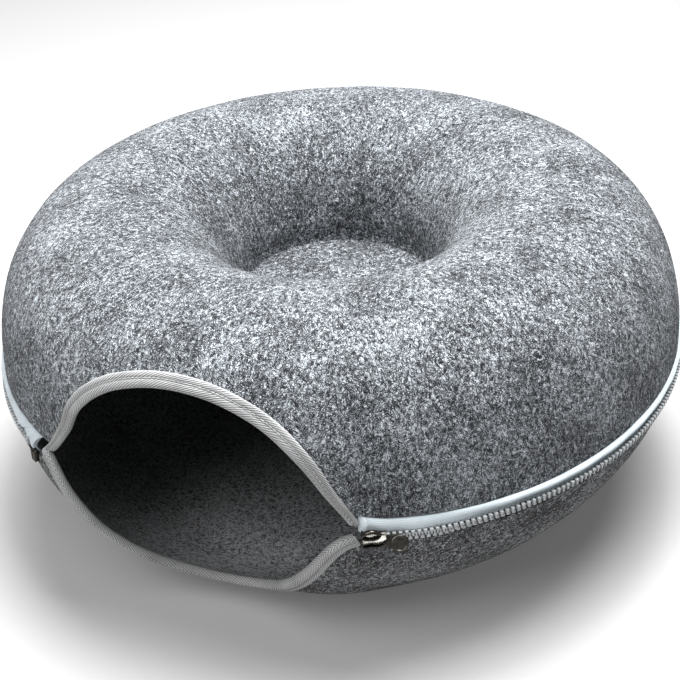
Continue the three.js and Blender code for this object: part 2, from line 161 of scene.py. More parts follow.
class ShaderGraph:
    """The nodes of one material."""

    def __init__(self, name: str) -> None:
        """Starts an empty material.

        Args:
            name: the material's name.
        """
        self.material = bpy.data.materials.new(name)
        self.material.use_nodes = True
        self.tree = self.material.node_tree
        self.tree.nodes.clear()

    def node(
        self,
        kind: str,
        settings: dict[str, object] | None = None,
        sockets: dict[str | int, object] | None = None,
        output: str | int = 0,
    ) -> Value:
        """Adds one node.

        Args:
            kind: the node's type.
            settings: its properties, which are set first; stops are a colour ramp's places and colours.
            sockets: values for its inputs, or the values that feed them.
            output: the output that is wanted.

        Returns:
            The wanted output.
        """
        node = self.tree.nodes.new(kind)
        for name, setting in (settings or {}).items():
            if name == "stops":
                self._set_stops(node.color_ramp, setting)
            else:
                setattr(node, name, setting)
        for key, value in (sockets or {}).items():
            if isinstance(value, Value):
                self.tree.links.new(value.socket, node.inputs[key])
            else:
                node.inputs[key].default_value = value
        return Value(self, node.outputs[output])

    @staticmethod
    def _set_stops(ramp: bpy.types.ColorRamp, stops: Sequence[tuple[float, Colour]]) -> None:
        """Gives a colour ramp its stops.

        Args:
            ramp: the ramp.
            stops: the place and colour of each stop.
        """
        while len(ramp.elements) < len(stops):
            ramp.elements.new(1.0)
        for element, (place, colour) in zip(ramp.elements, stops):
            element.position = place
            element.color = (*colour, 1.0)

    def noise(self, place: Value, scale: float, detail: float = 0.0, output: str | int = 0) -> Value:
        """A noise texture, by its value (output 0) or its colour (output 1)."""
        sockets = {"Vector": place, "Scale": scale, "Detail": detail}
        return self.node("ShaderNodeTexNoise", None, sockets, output)

    def cloth_marks(self) -> Value:
        """The place on the cloth before it was shaped, in metres."""
        return self.node("ShaderNodeTexCoord", output="UV")

    def object_place(self) -> Value:
        """The place in the object's own frame."""
        return self.node("ShaderNodeTexCoord", output="Object")

    def cloth_place(self) -> tuple[Value, Value]:
        """How far along and across the cloth a point lies, in metres."""
        split = {"Vector": self.cloth_marks()}
        return tuple(self.node("ShaderNodeSeparateXYZ", None, split, axis) for axis in "XY")

    def blend(self, share: Value, first: Colour, second: Colour) -> Value:
        """A colour between two, by a share."""
        sockets = {0: share, 6: (*first, 1.0), 7: (*second, 1.0)}
        return self.node("ShaderNodeMix", {"data_type": "RGBA"}, sockets, 2)

    def bump(self, height: Value, distance: float, strength: float) -> Value:
        """A normal from a height that runs from 0 to 1."""
        sockets = {"Height": height, "Distance": distance, "Strength": strength}
        return self.node("ShaderNodeBump", None, sockets)

    def finish(self, sockets: dict[str, object]) -> bpy.types.Material:
        """Adds the shader and the output.

        Args:
            sockets: the shader's inputs.

        Returns:
            The finished material.
        """
        shader = self.node("ShaderNodeBsdfPrincipled", None, sockets)
        output = self.tree.nodes.new("ShaderNodeOutputMaterial")
        self.tree.links.new(shader.socket, output.inputs["Surface"])
        return self.material


@dataclass(frozen=True)
class FibreLay:
    """Fibres of one size, and the ways in which they lie on the cloth."""

    length: float
    width: float
    turns: tuple[float, ...]
    seed: float
    stagger: float = 0.37

    def streaks(self, graph: ShaderGraph, marks: Value) -> list[Value]:
        """Streaks of tone, one field for each way that the fibres lie.

        Args:
            graph: the material's nodes.
            marks: the place on the cloth.

        Returns:
            The fields, each from 0 to 1.
        """
        fields = []
        for k, turn in enumerate(self.turns):
            aside = self.stagger * (k + self.seed)
            laid = graph.node("ShaderNodeMapping", {"vector_type": "TEXTURE"}, {
                "Vector": marks,
                "Location": (aside, 2 * aside, 0.0),
                "Rotation": (0.0, 0.0, math.radians(turn)),
                "Scale": (self.length, self.width, 1.0),
            })
            sockets = {"Vector": laid, "Scale": 1.0, "Detail": 0.0}
            fields.append(graph.node("ShaderNodeTexNoise", {"noise_dimensions": "2D"}, sockets))
        return fields


@dataclass(frozen=True)
class FeltFinish:
    """Heathered needle felt: pale and dark fibres that lie every way, in soft clouds of tone."""

    name: str
    dark: Colour
    middle: Colour
    light: Colour
    # Painted light: how much lighter the sheet's inner face is drawn.
    inner_painted_light: float = 0.0
    # Painted shade in the seat's pit: how much the tone drops, and the distances from the seat's middle over
    # which it fades in.
    seat_shade: float = 0.0
    seat_shade_reach: Pair = (175 * MM, 105 * MM)
    pale_fibres: FibreLay = FibreLay(7 * MM, 1.2 * MM, (5, 50, 95, 140), 1.0)
    dark_fibres: FibreLay = FibreLay(4.5 * MM, 0.58 * MM, (28, 73, 118, 163), 7.0)
    tufts: FibreLay = FibreLay(9 * MM, 2.4 * MM, (15, 75, 135), 13.0)
    hair: float = 0.08
    drift: float = 8 * MM
    drift_scale: float = 60.0
    cloud_scale: float = 22.0
    strand_weight: float = 0.6
    hollow_weight: float = 2.5
    hollow_middle: float = 0.36
    tuft_weight: float = 1.1
    cloud_weight: float = 0.7
    base_tone: float = 0.44
    relief: float = 0.5 * MM

    def _hair(self, streak: Value) -> Value:
        """Thin hairs along a streak's borders."""
        return (1.0 - abs(streak - NOISE_MIDDLE) / self.hair).most(0.0)

    def material(self) -> bpy.types.Material:
        """Lays fibres, tufts and clouds into one tone, with painted light inside and painted shade in the
        seat's pit.

        Returns:
            The felt's material.
        """
        graph = ShaderGraph(self.name)
        marks = graph.cloth_marks()
        drift = graph.noise(marks, self.drift_scale, detail=1.0, output=1)
        shift = {0: drift, 1: (self.drift,) * 3, 2: marks}
        bent = graph.node("ShaderNodeVectorMath", {"operation": "MULTIPLY_ADD"}, shift)
        strands = reduce(Value.most, [self._hair(s) for s in self.pale_fibres.streaks(graph, bent)])
        hollows = reduce(Value.least, self.dark_fibres.streaks(graph, bent))
        tufts = reduce(Value.__add__, self.tufts.streaks(graph, bent)) / len(self.tufts.turns)
        cloud = graph.noise(marks, self.cloud_scale, detail=2.0)
        pale = (strands - NOISE_MIDDLE) * self.strand_weight
        fibres = pale + (hollows - self.hollow_middle) * self.hollow_weight
        tone = (
            fibres + (tufts - NOISE_MIDDLE) * self.tuft_weight + (cloud - NOISE_MIDDLE) * self.cloud_weight
            + self.base_tone
        )
        # Painted light: the inner face is drawn lighter, standing in for the light that falls in through the
        # entrance.
        if self.inner_painted_light:
            inner = graph.node("ShaderNodeAttribute", {"attribute_name": INNER_FACE}, None, "Fac")
            tone = tone + inner * self.inner_painted_light
        # Painted shade: the tone drops towards the middle of the seat, darkening the pit.
        if self.seat_shade:
            from_middle = graph.node("ShaderNodeVectorMath", {"operation": "LENGTH"}, {0: marks}, "Value")
            tone = tone - from_middle.spread(*self.seat_shade_reach) * self.seat_shade
        stops = ((0.0, self.dark), (0.5, self.middle), (1.0, self.light))
        colour = graph.node("ShaderNodeValToRGB", {"stops": stops}, {"Fac": tone})
        return graph.finish({
            "Base Color": colour,
            "Roughness": 0.92,
            "Sheen Weight": 0.08,
            "Sheen Roughness": 0.6,
            "Specular IOR Level": 0.15,
            "Normal": graph.bump(fibres + tufts, self.relief, strength=0.8),
        })


@dataclass(frozen=True)
class TwillFinish:
    """Herringbone twill tape: slanting ribs that meet in a chevron along the fold."""

    name: str
    dark: Colour
    light: Colour
    pitch: float = 1.35 * MM
    slant: float = 27.0
    yarn: float = 0.62 * MM
    wander: float = 0.9 * MM
    wander_scale: float = 240.0
    wear_scale: float = 45.0
    rib_weight: float = 0.8
    yarn_weight: float = 0.2
    height_weight: float = 0.75
    wear_weight: float = 0.5
    base_tone: float = 0.1
    relief: float = 0.22 * MM

    def material(self) -> bpy.types.Material:
        """Weaves the ribs and the yarns across them, a little uneven and worn.

        Returns:
            The twill's material.
        """
        graph = ShaderGraph(self.name)
        along, across = graph.cloth_place()
        cosine, sine = math.cos(math.radians(self.slant)), math.sin(math.radians(self.slant))
        wander = graph.noise(graph.object_place(), self.wander_scale, detail=2.0) * self.wander
        valley = 1.0 - (along * sine + abs(across) * cosine + wander).wave(self.pitch)
        rib = 1.0 - valley * valley
        yarn = (along * cosine - abs(across) * sine + wander).wave(self.yarn)
        wear = graph.noise(graph.object_place(), self.wear_scale, detail=3.0)
        height = rib * self.rib_weight + yarn * self.yarn_weight
        tone = height * self.height_weight + (wear - NOISE_MIDDLE) * self.wear_weight + self.base_tone
        return graph.finish({
            "Base Color": graph.blend(tone.spread(0.0, 1.0), self.dark, self.light),
            "Roughness": 0.8,
            "Sheen Weight": 0.15,
            "Specular IOR Level": 0.3,
            "Normal": graph.bump(height, self.relief, strength=0.9),
        })


@dataclass(frozen=True)
class TapeFinish:
    """Woven zip tape with a satin face: fine cords lengthwise, crossed by finer weft."""

    name: str
    dark: Colour
    light: Colour
    cord: float = 1.1 * MM
    weft: float = 0.7 * MM
    wander: float = 0.3 * MM
    wander_scale: float = 300.0
    wear_scale: float = 60.0
    cord_weight: float = 0.6
    weft_weight: float = 0.4
    height_weight: float = 0.65
    wear_weight: float = 0.6
    base_tone: float = 0.24
    relief: float = 0.1 * MM

    def material(self) -> bpy.types.Material:
        """Weaves the cords and the weft, a little uneven and worn.

        Returns:
            The tape's material.
        """
        graph = ShaderGraph(self.name)
        along, across = graph.cloth_place()
        wander = graph.noise(graph.object_place(), self.wander_scale, detail=1.0) * self.wander
        cords = (across + wander).wave(self.cord) * self.cord_weight
        height = cords + (along + wander).wave(self.weft) * self.weft_weight
        wear = graph.noise(graph.object_place(), self.wear_scale, detail=3.0)
        tone = height * self.height_weight + (wear - NOISE_MIDDLE) * self.wear_weight + self.base_tone
        return graph.finish({
            "Base Color": graph.blend(tone.spread(0.0, 1.0), self.dark, self.light),
            "Roughness": 0.55,
            "Sheen Weight": 0.1,
            "Normal": graph.bump(height, self.relief, strength=0.7),
        })


@dataclass(frozen=True)
class HardFinish:
    """A hard surface with faint clouds and scuffs: plating or moulded plastic."""

    name: str
    dark: Colour
    light: Colour
    metallic: float
    smooth: float
    rough: float
    scuff_scale: float = 350.0
    grain_scale: float = 2100.0
    cloud_reach: Pair = (0.3, 0.7)
    relief: float = 0.02 * MM

    def material(self) -> bpy.types.Material:
        """Clouds the surface, and roughens it where it is lighter.

        Returns:
            The hard surface's material.
        """
        graph = ShaderGraph(self.name)
        place = graph.object_place()
        cloud = graph.noise(place, self.scuff_scale, detail=3.0).spread(*self.cloud_reach)
        grain = graph.noise(place, self.grain_scale, detail=1.0)
        return graph.finish({
            "Base Color": graph.blend(cloud, self.dark, self.light),
            "Metallic": self.metallic,
            "Roughness": cloud * (self.rough - self.smooth) + self.smooth,
            "Normal": graph.bump(grain, self.relief, strength=0.4),
        })


@dataclass(frozen=True)
class FloorFinish:
    """A plain pale studio floor."""

    name: str
    colour: Colour
    glow: float
    grain_scale: float = 900.0
    relief: float = 0.05 * MM

    def material(self) -> bpy.types.Material:
        """Makes the floor, which glows a little.

        Returns:
            The floor's material.
        """
        graph = ShaderGraph(self.name)
        grain = graph.noise(graph.object_place(), self.grain_scale, detail=2.0)
        return graph.finish({
            "Base Color": (*self.colour, 1.0),
            "Roughness": 0.9,
            "Specular IOR Level": 0.1,
            "Emission Color": (*self.colour, 1.0),
            "Emission Strength": self.glow,
            "Normal": graph.bump(grain, self.relief, strength=0.1),
        })


# The upper felt is darkened in its seat's pit by painted shade.
FELT_UPPER = FeltFinish(
    "felt_upper", (0.016, 0.017, 0.019), (0.172, 0.183, 0.199), (0.62, 0.66, 0.7), seat_shade=0.1,
)
# Painted shade: the lower felt's dark and middle colours are darker than the upper felt's, for the shadowed
# lower shell; its inner face gets painted light.
FELT_LOWER = FeltFinish(
    "felt_lower", (0.014, 0.014, 0.015), (0.135, 0.138, 0.143), (0.62, 0.635, 0.65), inner_painted_light=0.46,
)
TWILL = TwillFinish("binding_twill", (0.05, 0.05, 0.051), (0.58, 0.585, 0.59))
THREAD = TapeFinish("binding_thread", (0.2, 0.2, 0.2), (0.45, 0.45, 0.45))
ZIP_TAPE = TapeFinish("zip_tape", (0.385, 0.445, 0.48), (0.72, 0.785, 0.82))
TEETH = HardFinish("zip_teeth", (0.36, 0.375, 0.385), (0.52, 0.54, 0.55), 0.1, 0.2, 0.4)
GUNMETAL = HardFinish("zip_gunmetal", (0.045, 0.043, 0.039), (0.085, 0.081, 0.073), 0.75, 0.2, 0.32)
PULLER_METAL = HardFinish("zip_puller_metal", (0.08, 0.078, 0.07), (0.14, 0.136, 0.122), 0.7, 0.16, 0.28)
FLOOR = FloorFinish("studio_floor", (0.42, 0.42, 0.42), 0.33)


def way_along(points: np.ndarray) -> np.ndarray:
    """Distance along a line at each of its points."""
    return np.concatenate([[0.0], np.cumsum(np.linalg.norm(np.diff(points, axis=0), axis=1))])


def smooth_line(knots: np.ndarray, steps: int) -> np.ndarray:
    """A smooth line through knots, with its points evenly apart.

    Args:
        knots: the points to pass, one a row.
        steps: how many stretches the line has.

    Returns:
        The line's points, one a row.
    """
    chord = np.sqrt(np.linalg.norm(np.diff(knots, axis=0), axis=1))
    time = np.concatenate([[0.0], np.cumsum(chord)])
    slope = np.diff(knots, axis=0) / np.diff(time)[:, None]
    before, after = np.diff(time)[:-1, None], np.diff(time)[1:, None]
    inner = (slope[:-1] * after + slope[1:] * before) / (before + after)
    tangent = np.vstack([slope[:1], inner, slope[-1:]])
    at = np.linspace(0.0, time[-1], LINE_FINENESS * steps)
    i = np.clip(np.searchsorted(time, at, side="right") - 1, 0, len(knots) - 2)
    gap = (time[i + 1] - time[i])[:, None]
    t = ((at - time[i]) / (time[i + 1] - time[i]))[:, None]
    fine = (
        (2 * t**3 - 3 * t**2 + 1) * knots[i]
        + (t**3 - 2 * t**2 + t) * gap * tangent[i]
        + (3 * t**2 - 2 * t**3) * knots[i + 1]
        + (t**3 - t**2) * gap * tangent[i + 1]
    )
    way = way_along(fine)
    even = np.linspace(0.0, way[-1], steps + 1)
    return np.stack([np.interp(even, way, fine[:, k]) for k in range(knots.shape[1])], axis=1)


def smooth_step(value: np.ndarray, low: float, high: float) -> np.ndarray:
    """A soft step from 0 at low to 1 at high."""
    t = np.clip((value - low) / (high - low), 0.0, 1.0)
    return t * t * (3.0 - 2.0 * t)


def round_hump(value: np.ndarray, middle: np.ndarray | float, reach: float) -> np.ndarray:
    """A soft hump of height 1 round a middle."""
    return np.exp(-(((value - middle) / reach) ** 2))


def ring_points(azimuth: np.ndarray, radius: np.ndarray, height: np.ndarray) -> np.ndarray:
    """Points at azimuths in radians, radii and heights."""
    return np.stack(np.broadcast_arrays(radius * np.sin(azimuth), -radius * np.cos(azimuth), height), axis=-1)


class Lumps(NamedTuple):
    """Soft lumps: how high they are, how many there are in a metre, and which of many fields is taken."""

    height: float
    scale: float
    seed: float

    def over(self, points: np.ndarray) -> np.ndarray:
        """Height of the lumps at points, whose coordinates lie along the last axis."""
        places = points.reshape(-1, 3) * self.scale + self.seed
        return self.height * np.array([noise.noise(Vector(p)) for p in places]).reshape(points.shape[:-1])


@dataclass(frozen=True)
class DonutForm:
    """The felt's outer face in section, from the middle of the base, over the crest, to the seat."""

    outer_radius: float = 250 * MM
    equator_height: float = 118.5 * MM
    base_radius: float = 143 * MM
    crest_radius: float = 158 * MM
    crest_height: float = 235 * MM
    pit_radius: float = 73.5 * MM
    pit_height: float = 152 * MM
    pit_crown: float = 3 * MM
    lower_fullness: float = 1.56
    upper_fullness: float = 2.43
    pit_fullness: float = 2.05
    felt: float = 4 * MM
    quarter_steps: int = 48
    seat_steps: int = 11

    def _quarter(self, upright: Pair, level: Pair, fullness: float) -> np.ndarray:
        """A quarter of a superellipse.

        Args:
            upright: radius and height of its upright end.
            level: radius and height of its level end.
            fullness: its power, which is 2 for an ellipse.

        Returns:
            Radius and height of its points, from the upright end to the level one.
        """
        turn = np.linspace(0.0, math.pi / 2, self.quarter_steps + 1)
        across = np.clip(np.cos(turn), 0.0, 1.0) ** (2 / fullness)
        up = np.sin(turn) ** (2 / fullness)
        radius = level[0] + (upright[0] - level[0]) * across
        return np.stack([radius, upright[1] + (level[1] - upright[1]) * up], axis=1)

    @cached_property
    def face(self) -> np.ndarray:
        """Radius and height along the outer face.

        Returns:
            The face's points, one a row.
        """
        equator = (self.outer_radius, self.equator_height)
        crest = (self.crest_radius, self.crest_height)
        share = np.linspace(1.0, 0.0, self.seat_steps + 1)[1:]
        seat = np.stack([self.pit_radius * share, self.pit_height + self.pit_crown * (1 - share**2)], axis=1)
        return np.vstack([
            [(0.0, 0.0)],
            self._quarter(equator, (self.base_radius, 0.0), self.lower_fullness)[::-1],
            self._quarter(equator, crest, self.upper_fullness)[1:],
            self._quarter((self.pit_radius, self.pit_height), crest, self.pit_fullness)[::-1][1:],
            seat,
        ])

    @cached_property
    def lengths(self) -> np.ndarray:
        """Length along the outer face at each of its points."""
        return way_along(self.face)

    @cached_property
    def normals(self) -> np.ndarray:
        """Outward normal at each point of the face.

        Returns:
            The normals' radius and height, one a row.
        """
        way = np.gradient(self.face, axis=0)
        way /= np.linalg.norm(way, axis=1)[:, None]
        return np.stack([way[:, 1], -way[:, 0]], axis=1)

    @cached_property
    def crest(self) -> int:
        """The number of the face's highest point."""
        return int(np.argmax(self.face[:, 1]))

    @property
    def crest_length(self) -> float:
        """Length along the face at the crest."""
        return float(self.lengths[self.crest])

    def length_at(self, height: np.ndarray | float) -> np.ndarray:
        """Length along the face at a height on the outer wall."""
        wall = slice(1, self.crest + 1)
        return np.interp(height, self.face[wall, 1], self.lengths[wall])

    def radius_at(self, length: np.ndarray) -> np.ndarray:
        """Radius of the face at a length along it."""
        return np.interp(length, self.lengths, self.face[:, 0])

    def place(self, azimuth: np.ndarray, length: np.ndarray, out: np.ndarray | float = 0.0) -> np.ndarray:
        """Points of the felt.

        Args:
            azimuth: radians round the axis.
            length: length along the outer face.
            out: how far outside the face.

        Returns:
            The points, in the last axis.
        """
        radius, height, outward, upward = (
            np.interp(length, self.lengths, line) for line in (*self.face.T, *self.normals.T)
        )
        return ring_points(azimuth, radius + out * outward, height + out * upward)


class Bulge(NamedTuple):
    """A stretch of the lower shell that springs out round an azimuth, most at half of its way up."""

    reach: float
    azimuth: float
    span: float
    way: float


@dataclass(frozen=True)
class FrontSpring:
    """The slack front of the lower shell, which springs out beside and under the cut entrance."""

    form: DonutForm
    bulges: tuple[Bulge, ...] = (Bulge(9 * MM, -16.0, 34.0, 1.15), Bulge(4.2 * MM, 24.0, 18.0, 0.67))

    def open(self, points: np.ndarray) -> np.ndarray:
        """Moves points of a lower piece out where the front springs open.

        Args:
            points: the piece's points, in the last axis.

        Returns:
            The moved points.
        """
        radius = np.maximum(np.hypot(points[..., 0], points[..., 1]), WELD)
        azimuth = np.degrees(np.arctan2(points[..., 0], -points[..., 1]))
        out_share = (radius - self.form.base_radius) / (self.form.outer_radius - self.form.base_radius)
        up_share = points[..., 2] / self.form.equator_height
        out = np.zeros_like(radius)
        for bulge in self.bulges:
            aside = np.clip((azimuth - bulge.azimuth) / bulge.span, -1.0, 1.0)
            way = np.clip((out_share + up_share) / (2 * bulge.way), 0.0, 1.0)
            out += bulge.reach * np.cos(aside * math.pi / 2) ** 2 * 4 * way * (1 - way)
        moved = points.copy()
        moved[..., :2] *= (1.0 + out / radius)[..., None]
        return moved


class EdgeKnot(NamedTuple):
    """A point that an edge of the felt passes: its azimuth, and its height in millimetres."""

    azimuth: float
    height: float


def edge_knots(*places: Pair) -> tuple[EdgeKnot, ...]:
    """Knots at azimuths and at heights in millimetres."""
    return tuple(EdgeKnot(*place) for place in places)


def along_knots(knots: Sequence[EdgeKnot], azimuth: np.ndarray) -> np.ndarray:
    """Heights along an edge's knots, for azimuths in degrees."""
    return MM * np.interp(azimuth, [k.azimuth for k in knots], [k.height for k in knots])


@dataclass(frozen=True)
class EntranceEdge:
    """Clear edge of the entrance on one shell, from its left zip end to its right one."""

    form: DonutForm
    side: Side
    knots: tuple[EdgeKnot, ...]
    felt_steps: int = 240

    def places(self, steps: int) -> tuple[np.ndarray, np.ndarray]:
        """The edge's places on the felt.

        Args:
            steps: how many stretches the edge has.

        Returns:
            Azimuths, in radians, and lengths along the face.
        """
        per_degree = math.radians(self.form.outer_radius)
        line = smooth_line(np.array([(k.azimuth * per_degree, k.height * MM) for k in self.knots]), steps)
        return line[:, 0] / self.form.outer_radius, self.form.length_at(line[:, 1])

    def set_back(self, steps: int, distance: np.ndarray) -> tuple[np.ndarray, np.ndarray]:
        """Lines beside the edge, over the felt.

        Args:
            steps: how many stretches the edge has.
            distance: how far from the edge, one row a line.

        Returns:
            Azimuths, in radians, and lengths along the face.
        """
        azimuth, length = self.places(steps)
        radius = self.form.radius_at(length)
        along = np.stack([np.gradient(azimuth) * radius, np.gradient(length)], axis=1)
        along /= np.linalg.norm(along, axis=1)[:, None]
        away = self.side.value * distance
        return azimuth - away * along[:, 1] / radius, length + away * along[:, 0]

    def felt_edge(self, azimuth: np.ndarray, distance: float, elsewhere: float) -> np.ndarray:
        """Length along the face at which the felt is cut, for azimuths in radians."""
        at, length = self.set_back(self.felt_steps, np.array([[distance]]))
        return np.interp(azimuth, at[0], length[0], left=elsewhere, right=elsewhere)


FORM = DonutForm()
SPRING = FrontSpring(FORM)
UPPER_RIM = edge_knots(
    (-180, 126.5), (-90, 127.5), (-60, 129.5), (-42, 132), (-34, 133.5), (-28, 133), (28, 134.5),
    (29.5, 132.6), (32, 130.6), (38, 128.9), (47, 127.2), (60, 126), (75, 126.6), (90, 127.4), (180, 126.5),
)
LOWER_RIM = edge_knots(
    (-180, 112.8), (-60, 112.8), (-40, 110.5), (-31.5, 109), (-29.2, 109.5), (-28.5, 116.5), (-27.5, 118),
    (27.2, 118), (28.6, 112.5), (29.8, 110.6), (31.5, 111), (34, 111.8), (36.5, 112), (46, 112.4),
    (60, 112.8), (180, 112.8),
)
ARCH = EntranceEdge(FORM, Side.ABOVE, edge_knots(
    (-25.8, 121), (-23.3, 131.3), (-21.2, 142), (-19.2, 153.5), (-17.1, 172), (-12.2, 190), (-5.5, 200.2),
    (1.5, 203), (8.5, 199.5), (15.0, 188.7), (20.4, 168.5), (24.1, 146), (26.8, 128.5), (27.5, 121.5),
))
LIP = EntranceEdge(FORM, Side.BELOW, edge_knots(
    (-27.4, 128), (-25.2, 126.4), (-23.8, 122.6), (-22.1, 114), (-20.3, 98.3), (-18.4, 80.4), (-15.8, 61),
    (-11.5, 42), (-6.0, 31.5), (0.0, 28), (6.0, 31), (11.8, 40.5), (16.6, 59), (19.6, 77.5), (21.9, 94.6),
    (23.8, 106.6), (25.7, 114.4), (27.8, 118.6),
))


def deselect() -> None:
    """Leaves object mode with nothing selected."""
    if bpy.context.object and bpy.context.object.mode != "OBJECT":
        bpy.ops.object.mode_set(mode="OBJECT")
    bpy.ops.object.select_all(action="DESELECT")


def select(*pieces: bpy.types.Object) -> None:
    """Selects pieces alone, with the first one active.

    Args:
        pieces: the pieces.
    """
    deselect()
    for piece in pieces:
        piece.select_set(True)
    bpy.context.view_layer.objects.active = pieces[0]


@contextmanager
def editing(
    piece: bpy.types.Object,
    pick: Callable[[bpy.types.MeshPolygon], bool] = lambda face: True,
) -> Iterator[None]:
    """Edit mode on a piece, with some of its faces selected.

    Args:
        piece: the piece to edit.
        pick: says whether a face is selected; all are, unless it is given.

    Yields:
        Nothing, while the piece is in edit mode.
    """
    select(piece)
    bpy.ops.object.mode_set(mode="EDIT")
    bpy.ops.mesh.select_mode(type="FACE")
    bpy.ops.mesh.select_all(action="DESELECT")
    bpy.ops.object.mode_set(mode="OBJECT")
    for face in piece.data.polygons:
        face.select = pick(face)
    bpy.ops.object.mode_set(mode="EDIT")
    yield
    bpy.ops.object.mode_set(mode="OBJECT")


def apply_modifier(piece: bpy.types.Object, kind: str, settings: dict[str, object]) -> None:
    """Adds a modifier to a piece and applies it.

    Args:
        piece: the piece.
        kind: the modifier's type.
        settings: its properties.
    """
    select(piece)
    modifier = piece.modifiers.new(kind.title(), kind)
    for name, setting in settings.items():
        setattr(modifier, name, setting)
    bpy.ops.object.modifier_apply(modifier=modifier.name)


def bevel(piece: bpy.types.Object, width: float, segments: int, angle: float) -> None:
    """Bevels a piece's edges that are sharper than an angle."""
    settings = {"width": width, "segments": segments, "angle_limit": math.radians(angle)}
    apply_modifier(piece, "BEVEL", settings)


def clean(piece: bpy.types.Object) -> None:
    """Closes up faces of no size, and drops loose edges and points.

    Args:
        piece: the piece.
    """
    with editing(piece):
        bpy.ops.mesh.select_mode(type="VERT")
        bpy.ops.mesh.select_all(action="SELECT")
        bpy.ops.mesh.dissolve_degenerate(threshold=WELD)
        bpy.ops.mesh.delete_loose()


def smooth_shade(piece: bpy.types.Object, angle: float) -> None:
    """Shades a piece smooth, but for edges sharper than an angle."""
    select(piece)
    bpy.ops.object.shade_smooth_by_angle(angle=math.radians(angle))


def settle(piece: bpy.types.Object, place: Matrix) -> None:
    """Moves a piece's mesh to its place, and leaves its object at the origin.

    Args:
        piece: the piece.
        place: where it goes.
    """
    piece.data.transform(place @ piece.matrix_basis)
    piece.matrix_basis = Matrix.Identity(4)
    piece.data.update()


def primitive(add: Callable[..., object], **settings: object) -> bpy.types.Object:
    """Adds a primitive with nothing else selected, its size and place kept in its mesh.

    Args:
        add: the operator that adds it.
        settings: the operator's settings.

    Returns:
        The new piece.
    """
    deselect()
    add(**settings)
    piece = bpy.context.object
    settle(piece, Matrix.Identity(4))
    return piece


def joined(name: str, pieces: Sequence[bpy.types.Object]) -> bpy.types.Object:
    """Joins pieces into one.

    Args:
        name: the joined piece's name.
        pieces: the pieces.

    Returns:
        The joined piece.
    """
    select(*pieces)
    bpy.ops.object.join()
    whole = bpy.context.object
    whole.name = whole.data.name = name
    return whole


def copies(name: str, model: bpy.types.Object, places: Sequence[Matrix]) -> bpy.types.Object:
    """Copies a small model to many places, joined in one mesh.

    Args:
        name: the new piece's name.
        model: the model, which is removed.
        places: where each copy goes.

    Returns:
        The joined piece.
    """
    points = np.array([v.co[:] for v in model.data.vertices])
    faces = [tuple(p.vertices) for p in model.data.polygons]
    all_points = [points @ np.array(m.to_3x3()).T + np.array(m.translation) for m in places]
    all_faces = [tuple(v + k * len(points) for v in f) for k in range(len(places)) for f in faces]
    whole = bpy.data.meshes.new(name)
    whole.from_pydata(np.concatenate(all_points).tolist(), [], all_faces)
    piece = bpy.data.objects.new(name, whole)
    bpy.context.scene.collection.objects.link(piece)
    bpy.data.objects.remove(model)
    return piece


def on_ring(azimuth: float, radius: float, height: float) -> Matrix:
    """A place on the ring whose X axis runs along it and whose -Y axis faces away from the middle.

    Args:
        azimuth: degrees round the ring.
        radius: distance from the middle.
        height: height over the floor.

    Returns:
        The place.
    """
    turn = math.radians(azimuth)
    spot = Vector((radius * math.sin(turn), -radius * math.cos(turn), height))
    return Matrix.Translation(spot) @ Matrix.Rotation(turn, 4, "Z")


def dress(
    piece: bpy.types.Object,
    material: bpy.types.Material,
    slot: Slot,
    *nodes: str,
) -> bpy.types.Object:
    """Gives a piece its finish and its place in the frame.

    Args:
        piece: the finished piece.
        material: its material.
        slot: the record's slot that it takes its finish from; not used.
        nodes: the solids that it stands for.

    Returns:
        The piece.
    """
    piece.data.materials.clear()
    piece.data.materials.append(material)
    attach(piece, BODY)
    if nodes:
        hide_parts(*nodes)
    LOG.info("%s: %d faces", piece.name, len(piece.data.polygons))
    return piece


class Cut(NamedTuple):
    """A plane that one half of a sheet is cut along: a point of it, and the way to what is cut off.

    The half is -1 for the sheet's left and 1 for its right.
    """

    spot: Vector
    away: Vector
    half: int


